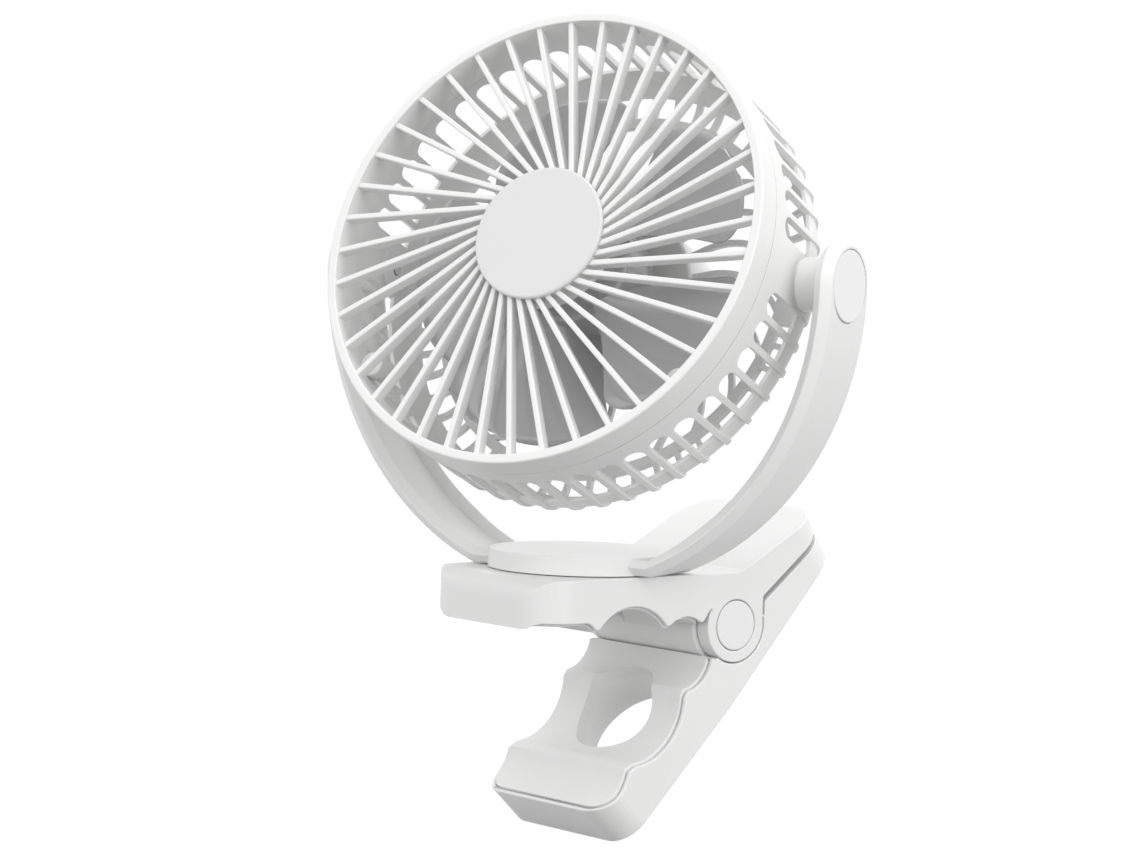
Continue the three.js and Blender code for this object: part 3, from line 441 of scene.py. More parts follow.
def apply_modifiers(target: Piece) -> None:
    """Makes what the object's modifiers show its own mesh.

    Args:
        target: The object to change.
    """
    shown = target.evaluated_get(bpy.context.evaluated_depsgraph_get())
    old = target.data
    target.data = bpy.data.meshes.new_from_object(shown)
    target.data.name = target.name
    target.modifiers.clear()
    bpy.data.meshes.remove(old)


def combine(target: Piece, way: Merge, *tools: Piece) -> Piece:
    """Cuts, joins or trims an object with others, which are used up.

    Args:
        target: The object that stays.
        way: What is done with the others.
        *tools: The other solids.

    Returns:
        The target.
    """
    for tool in tools:
        step = target.modifiers.new(way.name, "BOOLEAN")
        step.operation = way.value
        step.solver = "EXACT"
        step.object = tool
    apply_modifiers(target)
    for tool in tools:
        bpy.data.objects.remove(tool)
    return target


def bevelled(target: Piece, width: float, segments: int = 3) -> Piece:
    """Rounds an object's sharp edges.

    Args:
        target: The object.
        width: How wide the rounding is, in millimetres.
        segments: How many strips make the rounding.

    Returns:
        The target.
    """
    mesh = bmesh.new()
    mesh.from_mesh(target.data)
    bmesh.ops.remove_doubles(mesh, verts=mesh.verts, dist=0.03 * MM)
    bmesh.ops.dissolve_degenerate(mesh, edges=mesh.edges, dist=0.02 * MM)
    bmesh.ops.dissolve_limit(mesh, angle_limit=math.radians(0.4), verts=mesh.verts, edges=mesh.edges)
    mesh.to_mesh(target.data)
    mesh.free()
    if width > 0:
        bevel = target.modifiers.new("edge_rounding", "BEVEL")
        bevel.width = width * MM
        bevel.segments = segments
        bevel.limit_method = "ANGLE"
        bevel.angle_limit = CREASE
        bevel.use_clamp_overlap = False
        bevel.miter_outer = "MITER_ARC"
        apply_modifiers(target)
    return target


def soften(target: Piece, width: float, segments: int = 3) -> Piece:
    """Rounds an object's sharp edges and shades the rest smooth."""
    return smooth(bevelled(target, width, segments))


def smooth(target: Piece) -> Piece:
    """Shades an object smooth but for its sharp edges, and keeps its flats flat.

    Args:
        target: The object to shade.

    Returns:
        The same object.
    """
    target.data.polygons.foreach_set("use_smooth", [True] * len(target.data.polygons))
    target.data.set_sharp_from_angle(angle=CREASE)
    weights = target.modifiers.new("flat_faces", "WEIGHTED_NORMAL")
    weights.keep_sharp = True
    return target


# ---------------------------------------------------------------- finishes


@dataclass(frozen=True)
class Finish:
    """A surface that is made from noise of two sizes: the grain, and what varies across a piece."""

    name: str
    colour: Colour
    second_colour: Colour
    roughness: Point
    metallic: float = 0.0
    grain_size: float = 0.9
    grain_height: float = 0.01
    patch_size: float = 25.0
    coat: float = 0.0
    specular: float = 0.5

    def grain(self, nodes: Nodes, links: Links, place: Socket) -> Socket:
        """Makes the fine pattern that the bump and the roughness follow.

        Args:
            nodes: The material's nodes.
            links: The material's links.
            place: The coordinates, in metres.

        Returns:
            The pattern's height, from 0 to 1.
        """
        noise = nodes.new("ShaderNodeTexNoise")
        noise.inputs["Scale"].default_value = 1 / (self.grain_size * MM)
        noise.inputs["Detail"].default_value = 3.0
        noise.inputs["Roughness"].default_value = 0.55
        links.new(place, noise.inputs["Vector"])
        return noise.outputs["Fac"]

    def material(self) -> bpy.types.Material:
        """Gives the material, and makes it on the first call.

        Returns:
            The material, the same one on every call.
        """
        if self.name in bpy.data.materials:
            return bpy.data.materials[self.name]
        made = bpy.data.materials.new(self.name)
        made.use_nodes = True
        nodes, links = made.node_tree.nodes, made.node_tree.links
        shader = nodes["Principled BSDF"]
        shader.inputs["Metallic"].default_value = self.metallic
        shader.inputs["Coat Weight"].default_value = self.coat
        shader.inputs["Specular IOR Level"].default_value = self.specular
        place = nodes.new("ShaderNodeTexCoord").outputs["Object"]
        grain = self.grain(nodes, links, place)

        patches = nodes.new("ShaderNodeTexNoise")
        patches.inputs["Scale"].default_value = 1 / (self.patch_size * MM)
        patches.inputs["Detail"].default_value = 4.0
        links.new(place, patches.inputs["Vector"])
        tint = nodes.new("ShaderNodeMix")
        tint.data_type = "RGBA"
        tint.inputs["A"].default_value = (*self.colour, 1.0)
        tint.inputs["B"].default_value = (*self.second_colour, 1.0)
        links.new(patches.outputs["Fac"], tint.inputs["Factor"])
        links.new(tint.outputs["Result"], shader.inputs["Base Color"])

        both = nodes.new("ShaderNodeMath")
        both.operation = "MULTIPLY_ADD"
        both.inputs[1].default_value = 0.4
        links.new(grain, both.inputs[0])
        share = nodes.new("ShaderNodeMath")
        share.operation = "MULTIPLY"
        share.inputs[1].default_value = 0.6
        links.new(patches.outputs["Fac"], share.inputs[0])
        links.new(share.outputs["Value"], both.inputs[2])
        spread = nodes.new("ShaderNodeMapRange")
        spread.inputs["To Min"].default_value = self.roughness[0]
        spread.inputs["To Max"].default_value = self.roughness[1]
        links.new(both.outputs["Value"], spread.inputs["Value"])
        links.new(spread.outputs["Result"], shader.inputs["Roughness"])

        bump = nodes.new("ShaderNodeBump")
        bump.inputs["Strength"].default_value = 0.35
        bump.inputs["Distance"].default_value = self.grain_height * MM
        links.new(grain, bump.inputs["Height"])
        links.new(bump.outputs["Normal"], shader.inputs["Normal"])
        return made


@dataclass(frozen=True)
class Streaked(Finish):
    """A surface whose grain runs in fine lines one way, such as drawn steel or wound wire."""

    stretch: Point3 = (1.0, 1.0, 0.05)

    def grain(self, nodes: Nodes, links: Links, place: Socket) -> Socket:
        """Makes the fine pattern, drawn out one way.

        Args:
            nodes: The material's nodes.
            links: The material's links.
            place: The coordinates, in metres.

        Returns:
            The pattern's height, from 0 to 1.
        """
        mapping = nodes.new("ShaderNodeMapping")
        mapping.inputs["Scale"].default_value = self.stretch
        links.new(place, mapping.inputs["Vector"])
        return super().grain(nodes, links, mapping.outputs["Vector"])


@dataclass(frozen=True)
class Etched(Finish):
    """A circuit board's solder mask, with the tracks under it showing as square cells."""

    def grain(self, nodes: Nodes, links: Links, place: Socket) -> Socket:
        """Makes the tracks.

        Args:
            nodes: The material's nodes.
            links: The material's links.
            place: The coordinates, in metres.

        Returns:
            The pattern's height, from 0 to 1.
        """
        cells = nodes.new("ShaderNodeTexVoronoi")
        cells.distance = "MANHATTAN"
        cells.feature = "F1"
        cells.inputs["Scale"].default_value = 1 / (self.grain_size * MM)
        links.new(place, cells.inputs["Vector"])
        return cells.outputs["Distance"]


WHITE = Finish("moulded_white", (0.80, 0.80, 0.795), (0.785, 0.785, 0.78), (0.3, 0.4))
WHITE_SATIN = Finish("satin_white", (0.81, 0.81, 0.81), (0.80, 0.80, 0.80), (0.26, 0.36), grain_height=0.004)
# Painted shade: the hub disc is the same white plastic, with its colour darkened so that its front face,
# which the front lamp lights straight on, comes out greyer.
HUB_WHITE_PAINTED_SHADE = Finish("hub_white_painted_shade", (0.69, 0.69, 0.69), (0.68, 0.68, 0.68), (0.34, 0.44), grain_height=0.004)
GLIDE_WHITE = Finish("glide_white", (0.77, 0.77, 0.77), (0.75, 0.75, 0.75), (0.3, 0.4))
# Painted shade: the blades get a dark grey that stands for the shade they lie in inside the head, so even the
# blades that the light reaches come out dark.
WHEEL_GREY_PAINTED_SHADE = Finish(
    "wheel_grey_painted_shade", (0.43, 0.43, 0.435), (0.4, 0.4, 0.405), (0.1, 0.18), coat=0.3, grain_height=0.002
)
SOFT_WHITE = Finish(
    "soft_pad", (0.79, 0.79, 0.785), (0.77, 0.77, 0.765), (0.6, 0.75), grain_size=0.5, grain_height=0.02
)
CLEAR_LENS = Finish(
    "lamp_lens", (0.9, 0.9, 0.9), (0.86, 0.87, 0.88), (0.06, 0.14), coat=0.5, grain_height=0.002
)
STEEL = Streaked(
    "plated_steel", (0.62, 0.63, 0.64), (0.54, 0.55, 0.56), (0.22, 0.38), metallic=1.0, grain_size=0.4
)
LAMINATION = Streaked(
    "core_laminations",
    (0.42, 0.42, 0.43),
    (0.33, 0.33, 0.34),
    (0.35, 0.5),
    metallic=1.0,
    stretch=(0.05, 1.0, 0.05),
)
MAGNET = Finish(
    "sintered_magnet", (0.1, 0.1, 0.105), (0.075, 0.075, 0.08), (0.45, 0.65), metallic=0.4, grain_height=0.03
)
COPPER = Streaked(
    "enamelled_wire", (0.5, 0.17, 0.06), (0.42, 0.13, 0.045), (0.2, 0.34), metallic=1.0, coat=0.4
)
FOIL = Finish(
    "cell_foil",
    (0.6, 0.61, 0.63),
    (0.52, 0.53, 0.55),
    (0.3, 0.5),
    metallic=1.0,
    grain_size=2.5,
    grain_height=0.05,
)
BOARD = Etched(
    "solder_mask", (0.012, 0.075, 0.035), (0.01, 0.055, 0.026), (0.25, 0.4), grain_size=1.6, coat=0.3
)


def settle(made: Piece, body: str, finish: Finish, *replaced: str) -> None:
    """Dresses a piece, lets it ride on its body and reports it.

    Args:
        made: The piece.
        body: The body that it moves with.
        finish: Its surface.
        *replaced: The nodes that it stands for.
    """
    made.data.materials.clear()
    made.data.materials.append(finish.material())
    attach(made, body)
    if replaced:
        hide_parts(*replaced)
    faces = len(made.data.polygons)
    log.info("%s rides on %s, %d faces, for %s", made.name, body, faces, replaced or "itself")


def dress_node(node: str, finish: Finish) -> None:
    """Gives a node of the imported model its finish.

    Args:
        node: The node's name.
        finish: Its finish.
    """
    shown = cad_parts[node]
    if shown.data.materials:
        for index in range(len(shown.data.materials)):
            shown.data.materials[index] = finish.material()
    else:
        shown.data.materials.append(finish.material())
    log.info("%s keeps its node's shape", node)


# ---------------------------------------------------------------- fan head


@dataclass
class FrontGrille:
    """The bezel, the offset spokes and the hub in front of the fan wheel."""

    front: float = 35.8
    lip: float = 2.5
    rabbet: float = 1.2
    spokes: int = 40
    spoke_offset: float = 11.0
    spoke_width: float = 1.9
    spoke_front: float = 34.9
    spoke_depth: float = 4.4
    spoke_taper: float = 0.3
    hub_depth: float = 9.0
    spoke_phase: float = 3.0
    hub_radius: float = 22.7
    hub_wall: float = 2.0
    cap_thick: float = 1.4
    cap_crown: float = 0.12
    lobe_radius: float = 4.2
    lobe_front: float = 27.1

    def bezel(self) -> Piece:
        """Builds the ring with its rounded shoulder, its straight bore and its two screw lobes.

        Returns:
            The ring.
        """
        back = SEAM - self.lip
        outline = [
            (RIM_RADIUS, SEAM),
            (RIM_RADIUS, self.front),
            (MOUTH_RADIUS, self.front),
            (MOUTH_RADIUS, back),
            (MOUTH_RADIUS + self.rabbet, back),
            (MOUTH_RADIUS + self.rabbet, SEAM),
        ]
        skin = Skin(Place.HEAD)
        skin.turned(rounded(outline, [0.25, 0.7, 0.4, 0.2, 0.2, 0.0], 6), Axis.FRONT, 240, hollow=True)
        lobe = rounded(straight(ON_AXIS, self.lobe_radius, self.lobe_front, back), [0, 0.4, 0.2, 0])
        for angle in (-LOBE_ANGLE, LOBE_ANGLE):
            first = len(skin.mesh.verts)
            skin.turned(lobe, Axis.FRONT, 32, centre=(0.0, 0.0, LOBE_CENTRE))
            skin.turn_about_fan(angle, first)
        return smooth(skin.made("bezel_ring"))

    def spoke_section(self) -> list[Point]:
        """The spoke's section as side and depth, a little narrower at its back.

        Returns:
            The section's closed outline.
        """
        half, back = self.spoke_width / 2, self.spoke_front - self.spoke_depth
        corners = [
            (self.spoke_offset - half, self.spoke_front),
            (self.spoke_offset + half, self.spoke_front),
            (self.spoke_offset + half - self.spoke_taper, back),
            (self.spoke_offset - half + self.spoke_taper, back),
        ]
        return rounded(corners, [0.45, 0.45, 0.3, 0.3], 4)

    def spoke_ring(self) -> Piece:
        """Builds all spokes, each tangent to the same small circle.

        Returns:
            The spokes as one object.
        """

        def reach(radius: float) -> float:
            """How far along its own line a spoke is at a radius."""
            return math.sqrt(radius**2 - self.spoke_offset**2)

        lean = math.degrees(math.asin(self.spoke_offset / MOUTH_RADIUS))
        skin = Skin(Place.HEAD)
        for k in range(self.spokes):
            first = len(skin.mesh.verts)
            skin.drawn(
                self.spoke_section(),
                reach(self.hub_radius - 1.8),
                reach(MOUTH_RADIUS + 0.4),
                lambda point, level: (point[0], -point[1], level),
            )
            skin.turn_about_fan(self.spoke_phase - lean + 360 / self.spokes * k, first)
        return smooth(skin.made("grille_spokes"))

    def hub(self) -> Piece:
        """Builds the hollow hub that the spokes end in.

        Returns:
            The hub.
        """
        front, rim, back = self.spoke_front, self.hub_radius, self.spoke_front - self.hub_depth
        outline = [
            (3.0, front),
            (rim - 0.8, front),
            (rim - 0.4, back),
            (rim - 0.4 - self.hub_wall, back),
            (rim - 2.6, front - self.hub_wall),
            (3.0, front - self.hub_wall),
        ]
        profile = rounded(outline, [0.2, 0.3, 0.3, 0.3, 0.5, 0.2])
        return smooth(turned_piece("grille_hub", Place.HEAD, profile, Axis.FRONT, 128, hollow=True))

    def cap(self) -> Piece:
        """Builds the plain disc on the hub, very slightly crowned, with a fine rounded edge.

        Returns:
            The disc.
        """
        back = self.spoke_front + GAP
        front = back + self.cap_thick
        rim = self.hub_radius
        shares = (0.001, 0.15, 0.3, 0.45, 0.6, 0.75, 0.88)
        face = [(rim * share, front + self.cap_crown * (1 - share**2)) for share in shares]
        edge = arc((rim - 0.7, front - 0.7), 0.7, 90, 0, 6)
        profile = [*face, *edge, (rim, back + 0.15), (rim - 0.15, back), (4.0, back), (4.0, back - 1.6)]
        return smooth(turned_piece("hub_disc", Place.HEAD, profile, Axis.FRONT, 160))

    def build(self) -> None:
        """Builds and dresses the grille's pieces."""
        settle(self.bezel(), "head", WHITE, "front_grille")
        settle(self.spoke_ring(), "head", WHITE)
        settle(self.hub(), "head", WHITE)
        # The hub disc takes the white that has painted shade in its colour.
        settle(self.cap(), "head", HUB_WHITE_PAINTED_SHADE, "hub_cap")


@dataclass
class RearCage:
    """The slotted shell behind the bezel, the bars across its back and the motor's housing."""

    wall: float = 2.4
    corner: float = 12.0
    sunk: float = 0.9
    band_front: float = -3.2
    back: float = -18.6
    rim_depth: float = 3.0
    rim_inset: float = 1.5
    slot_pitch: float = 7.0
    slots_per_side: int = 24
    slot_front: float = 18.0
    slot_width: float = 7.4
    ring_out: float = 64.6
    ring_in: float = 61.0
    swirl_bars: int = 24
    swirl_start: float = 33.5
    swirl_rate: float = 0.000385
    swirl_thick: float = 2.0
    pod_radius: float = 29.5
    pod_back: float = -38.0
    neck_radius: float = 7.9
    neck: float = 78.7
    bore: float = 2.2
    column_radius: float = 3.4
    column_front: float = 22.3

    def profiles(self) -> dict[str, list[Point]]:
        """The shell's profiles from its rim to the ring on its back.

        Returns:
            The profiles by name, each as radius and depth.
        """
        centre = (RIM_RADIUS - self.corner, self.back + self.corner)
        inner = RIM_RADIUS - self.wall
        slot_end = self.slot_front - self.slot_width / 2

        def edge(inset: float) -> list[Point]:
            """The rounded back edge, moved in by an inset."""
            return arc(centre, self.corner - inset, 0, -90, 9)

        backs = (self.ring_out, self.ring_in)
        return {
            "outside": [
                (RIM_RADIUS, SEAM - GAP),
                (RIM_RADIUS, slot_end),
                (RIM_RADIUS, self.band_front),
                *edge(0),
                *((radius, self.back) for radius in backs),
            ],
            "inside": [
                (inner, SEAM - self.rim_depth),
                (inner, slot_end),
                (inner, self.band_front),
                *edge(self.wall),
                *((radius, self.back + self.wall) for radius in backs),
            ],
            "sunk": [(0.0, 0.0), (0.0, 0.0), (RIM_RADIUS - self.sunk, self.band_front), *edge(self.sunk)],
            "rim": [
                (MOUTH_RADIUS + self.rim_inset, SEAM - GAP),
                (MOUTH_RADIUS + self.rim_inset, SEAM - self.rim_depth),
            ],
        }

    def shell(self) -> Piece:
        """Builds the side wall with its round-ended slots and the openings in its rounded edge.

        Returns:
            The shell.
        """
        lines = self.profiles()
        outside, inside, sunk, rim = lines["outside"], lines["inside"], lines["sunk"], lines["rim"]
        last = len(outside) - 1
        # Places in the profiles: where the slots' round ends start, the band's two ends, and the back ring.
        spring, slot_end, ring_start, ring_end = 1, 2, 9, last - 1
        skin = Skin(Place.HEAD)

        def at(degrees: float, spot: Point) -> Point3:
            """The point in space of a profile's point, turned about the fan's axis."""
            return Axis.FRONT.point(math.radians(degrees), spot[0], spot[1])

        def band(low: float, high: float, first: Point, second: Point) -> None:
            """Adds the face between two angles and two points of a profile."""
            skin.face([at(low, first), at(high, first), at(high, second), at(low, second)])

        def rim_faces(low: float, high: float) -> None:
            """Closes the shell at its rim and at its back ring, between two angles.

            Args:
                low: The first angle, in degrees.
                high: The last angle, in degrees.
            """
            band(high, low, outside[0], rim[0])
            band(high, low, rim[0], rim[1])
            band(high, low, rim[1], inside[0])
            band(low, high, outside[last], inside[last])

        def walls(low: float, high: float, first: int, end: int, face: list[Point]) -> None:
            """Adds the shell's outer and inner faces between two angles.

            Args:
                low: The first angle, in degrees.
                high: The last angle, in degrees.
                first: The place in the profiles to start at.
                end: The place in the profiles to end at.
                face: The outer face's profile.
            """
            for i in range(first, end):
                band(low, high, face[i], face[i + 1])
                band(high, low, inside[i], inside[i + 1])

        half = math.degrees(self.slot_width / 2 / RIM_RADIUS)
        rise = self.slot_width / 2
        arch_steps = 12
        arch_angles = [math.pi - math.pi * i / arch_steps for i in range(arch_steps + 1)]

        def arch_depth(angle: float) -> float:
            """The depth of a slot's round front end at an angle of its arch."""
            return outside[spring][1] + rise * math.sin(angle)

        def slot(middle: float) -> None:
            """Adds the shell's faces round one slot.

            Args:
                middle: The angle of the slot's middle, in degrees.
            """
            for a, b in zip(arch_angles, arch_angles[1:]):
                low, high = middle + half * math.cos(a), middle + half * math.cos(b)
                rim_faces(low, high)
                for face, turn in ((outside, 1), (inside, -1)):
                    radius, depth = face[0]
                    quad = [
                        at(low, (radius, depth)),
                        at(high, (radius, depth)),
                        at(high, (radius, arch_depth(b))),
                        at(low, (radius, arch_depth(a))),
                    ]
                    skin.face(quad[::turn])
                skin.face(
                    [
                        at(low, (outside[0][0], arch_depth(a))),
                        at(high, (outside[0][0], arch_depth(b))),
                        at(high, (inside[0][0], arch_depth(b))),
                        at(low, (inside[0][0], arch_depth(a))),
                    ]
                )
                band(high, low, sunk[slot_end], inside[slot_end])
                walls(low, high, slot_end, ring_start, sunk)
                band(low, high, sunk[ring_start], inside[ring_start])
                band(high, low, outside[ring_end], inside[ring_end])
                walls(low, high, ring_end, last, outside)
            left, right = middle - half, middle + half

            def side(points: list[Point]) -> None:
                """Adds the same face to both side walls of the slot."""
                skin.face([at(right, point) for point in points])
                skin.face([at(left, point) for point in reversed(points)])

            side([outside[spring], outside[slot_end], sunk[slot_end], inside[slot_end], inside[spring]])
            for i in range(slot_end, ring_start):
                side([outside[i], outside[i + 1], sunk[i + 1], sunk[i]])
            side(
                [
                    sunk[ring_start],
                    outside[ring_start],
                    outside[ring_start + 1],
                    inside[ring_start + 1],
                    inside[ring_start],
                ]
            )
            for i in range(ring_start + 1, ring_end):
                side([outside[i], outside[i + 1], inside[i + 1], inside[i]])

        def bar(low: float, high: float, columns: int) -> None:
            """Adds the solid part between two slots.

            Args:
                low: The first angle, in degrees.
                high: The last angle, in degrees.
                columns: How many faces it has across.
            """
            for k in range(columns):
                start = low + (high - low) * k / columns
                end = low + (high - low) * (k + 1) / columns
                rim_faces(start, end)
                walls(start, end, 0, last, outside)

        middles = [
            side + self.slot_pitch * (k + 0.5 - self.slots_per_side / 2)
            for side in (0.0, 180.0)
            for k in range(self.slots_per_side)
        ]
        for middle, following in zip(middles, [*middles[1:], middles[0] + 360]):
            slot(middle)
            bar(middle + half, following - half, 8 if following - middle > self.slot_pitch * 1.5 else 1)
        return soften(skin.made("cage_shell"), 0.3, 2)

    def swirl(self) -> Piece:
        """Builds the curved bars between the housing and the ring on the back.

        Returns:
            The bars as one object.
        """
        start, end, stations = self.pod_radius - 1, self.ring_in + 0.8, 14
        low = self.back + 0.2
        high = low + self.swirl_thick
        skin = Skin(Place.HEAD)
        for k in range(self.swirl_bars):
            first = len(skin.mesh.verts)
            rings = []
            for i in range(stations + 1):
                radius = start + (end - start) * i / stations
                away = radius - self.swirl_start
                turn = self.swirl_rate * away * abs(away)
                half = math.hypot(1, radius * 2 * self.swirl_rate * abs(away))
                corners = [(-half, low), (half, low), (half, high), (-half, high)]
                section = rounded(corners, [0.4, 0.4, 0.25, 0.25], 3)
                places = [(turn + side / radius, radius, depth) for side, depth in section]
                rings.append([Axis.FRONT.point(*place) for place in places])
            skin.rings(rings)
            skin.turn_about_fan(360 / self.swirl_bars * k, first)
        return smooth(skin.made("cage_swirl_bars"))

    def pod(self) -> Piece:
        """Builds the motor's housing, the tube that holds its bearings and the charging port's opening.

        Returns:
            The housing.
        """
        front, rim = -15.2, self.pod_radius
        profile = [
            (4.4, -17.4),
            (rim - 2, -17.4),
            (rim - 2, self.pod_back),
            (rim, self.pod_back),
            (rim, front),
            (6.2, front),
            (6.2, 6.4),
            (4.4, 6.4),
        ]
        profile = rounded(profile, [0, 0.5, 0.2, 0.2, 1.2, 0.5, 0.3, 0.3])
        pod = turned_piece("motor_pod", Place.HEAD, profile, Axis.FRONT, 128, hollow=True)

        def port_point(point: Point, level: float) -> Point3:
            """Turns a point of the port's outline into a point in space."""
            return (point[0], -self.pod_back - point[1], level)

        opening = plan(4.9, 5.0, 9.0, 1.6, 1.6)
        port = drawn_piece("port_opening", Place.HEAD, opening, -rim - 2, -rim + 4, port_point)
        return soften(combine(pod, Merge.CUT, port), 0.0)

    def neck_and_columns(self) -> Piece:
        """Builds the short necks beside the pivots and the screw columns behind the lobes.

        Returns:
            The necks and columns as one object.
        """
        skin = Skin(Place.HEAD)
        inner = RIM_RADIUS - self.wall - 1
        for side in (-1, 1):
            profile = straight(self.bore, self.neck_radius, side * inner, side * self.neck)
            skin.turned(rounded(profile, [0, 0, 0.3, 0.2]), Axis.ACROSS, 64, hollow=True)
        profile = straight(ON_AXIS, self.column_radius, self.column_front, self.slot_front + 1)
        column = rounded(profile, [0, 0.3, 0.3, 0])
        for angle in (-LOBE_ANGLE, LOBE_ANGLE):
            first = len(skin.mesh.verts)
            skin.turned(column, Axis.FRONT, 32, centre=(0.0, 0.0, LOBE_CENTRE))
            skin.turn_about_fan(angle, first)
        return smooth(skin.made("cage_necks"))

    def build(self) -> None:
        """Builds and dresses the cage's pieces."""
        settle(self.shell(), "head", WHITE, "rear_cage")
        settle(self.swirl(), "head", WHITE)
        settle(self.pod(), "head", WHITE)
        settle(self.neck_and_columns(), "head", WHITE)


@dataclass
class RearControls:
    """The cover of the motor's housing with its button and its lamp."""

    radius: float = 29.5
    front: float = -38.3
    thick: float = 3.4
    edge: float = 2.0
    button_radius: float = 6.5
    button_height: float = 9.0
    button_proud: float = 1.6
    lens_half: float = 6.0
    lens_height: float = -6.0

    def lamp_point(self, point: Point, level: float) -> Point3:
        """A point of the lamp's outline at a place along the fan's depth."""
        return (point[0], -level, self.lens_height + point[1])

    def cover(self) -> Piece:
        """Builds the cover with its rounded edge, the button's hole and the lamp's slot.

        Returns:
            The cover.
        """
        face = self.front - self.thick
        profile = rounded(straight(ON_AXIS, self.radius, self.front, face), [0, 0.2, self.edge, 0], 8)
        cover = turned_piece("pod_cover", Place.HEAD, profile, Axis.FRONT, 128)
        lip = straight(self.radius - 4, self.radius - 2.4, self.front - 0.2, self.front + 3)
        combine(cover, Merge.JOIN, turned_piece("cover_lip", Place.HEAD, lip, Axis.FRONT, 128, hollow=True))
        start, end = self.front + 5, face - 1
        wall = [(self.button_radius + GAP, start), (self.button_radius + GAP, end)]
        centre = (0.0, 0.0, self.button_height)
        hole = turned_piece("button_hole", Place.HEAD, wall, Axis.FRONT, 72, centre=centre)
        slot_plan = plan(self.lens_half + GAP, -1.1, 1.1, 0.5, 0.5)
        slot = drawn_piece("lamp_slot", Place.HEAD, slot_plan, start, end, self.lamp_point)
        return soften(combine(cover, Merge.CUT, hole, slot), 0.15, 2)

    def button(self) -> Piece:
        """Builds the round button with its dished face and the flange that keeps it in.

        Returns:
            The button.
        """
        face = self.front - self.thick - self.button_proud
        inner = self.front + GAP
        rim = self.button_radius
        dish = [(rim * share, face + 0.3 * (1 - share**2)) for share in (0.86, 0.7, 0.5, 0.3, 0.15, 0.002)]
        profile = [
            (0.02, inner + 1),
            (rim + 1, inner + 1),
            (rim + 1.2, inner + 0.8),
            (rim + 1.2, inner + 0.1),
            (rim + 1.1, inner),
            (rim, inner),
            *arc((rim - 0.6, face + 0.6), 0.6, 0, -90, 6),
            *dish,
        ]
        centre = (0.0, 0.0, self.button_height)
        return smooth(turned_piece("button_cap", Place.HEAD, profile, Axis.FRONT, 80, centre=centre))

    def lens(self) -> Piece:
        """Builds the lamp's narrow strip, just under the cover's face.

        Returns:
            The strip.
        """
        face = self.front - self.thick
        outline = plan(self.lens_half, -0.8, 0.8, 0.4, 0.4)
        strip = drawn_piece("lamp_strip", Place.HEAD, outline, face + 3.8, face + 0.1, self.lamp_point)
        return soften(strip, 0.12, 2)

    def build(self) -> None:
        """Builds and dresses the cover's pieces."""
        settle(self.cover(), "head", WHITE_SATIN, "rear_cover")
        settle(self.button(), "button", WHITE_SATIN, "power_button")
        settle(self.lens(), "head", CLEAR_LENS, "indicator_lens")


@dataclass
class FanWheel:
    """The hub and the five wide blades."""

    blades: int = 5
    tip: float = 61.0
    phase: float = 42.0
    thick: float = 1.6
    middle: float = 5.4
    camber: float = 2.2
    sweep: float = 8.0
    span: Point = (23.0, 32.0)
    rise: Point = (9.4, 6.0)
    round_from: float = 0.72
    hub_radius: float = 20.5
    hub_front: float = 12.0
    hub_back: float = -5.4

    def blade_ring(self, out: float, steps: int) -> list[Point3]:
        """One section round a blade.

        Args:
            out: Share of the way from the blade's root to its tip.
            steps: How many stretches each of its two faces has.

        Returns:
            The section's points. The blade narrows to its tip from `round_from` on.
        """
        root = self.hub_radius - 1
        radius = root + (self.tip - root) * out
        rounding = math.sqrt(1 - max(0.0, (out - self.round_from) / (1.001 - self.round_from)) ** 2.4)
        half_span = (self.span[0] + (self.span[1] - self.span[0]) * out) * rounding + 3
        rise = self.rise[0] + (self.rise[1] - self.rise[0]) * out
        ring = []
        for side in (1, -1):
            for j in range(steps + 1):
                share = side * math.cos(math.pi * j / steps)
                angle = math.radians(self.sweep * out + half_span * share)
                edge = math.sqrt(max(0.0, 1 - share**2 * 0.99))
                depth = self.middle + rise * rounding * share + self.camber * (1 - share**2)
                depth -= side * self.thick * (0.35 + 0.65 * edge) / 2
                ring.append(Axis.FRONT.point(angle, radius, depth))
        return ring

    def wheel(self) -> Piece:
        """Builds the hub with its rounded front edge and all blades.

        Returns:
            The wheel.
        """
        stations, chord_steps = 30, 20
        front, rim, back = self.hub_front, self.hub_radius, self.hub_back
        outline = [
            (1.8, front),
            (rim, front),
            (rim, back),
            (rim - 1.4, back),
            (rim - 1.4, front - 2.6),
            (1.8, front - 2.6),
        ]
        skin = Skin(Place.HEAD)
        skin.turned(rounded(outline, [0.3, 1.6, 0.3, 0.3, 0.8, 0.3], 6), Axis.FRONT, 128, hollow=True)
        for k in range(self.blades):
            first = len(skin.mesh.verts)
            shares = [math.sin(math.pi / 2 * i / stations) for i in range(stations + 1)]
            skin.rings([self.blade_ring(share, chord_steps) for share in shares])
            skin.turn_about_fan(self.phase + 360 / self.blades * k, first)
        return smooth(skin.made("fan_blades"))

    def build(self) -> None:
        """Builds and dresses the wheel."""
        # The blades take the grey that has painted shade in its colour.
        settle(self.wheel(), "wheel", WHEEL_GREY_PAINTED_SHADE, "fan_wheel")


# ---------------------------------------------------------------- yoke


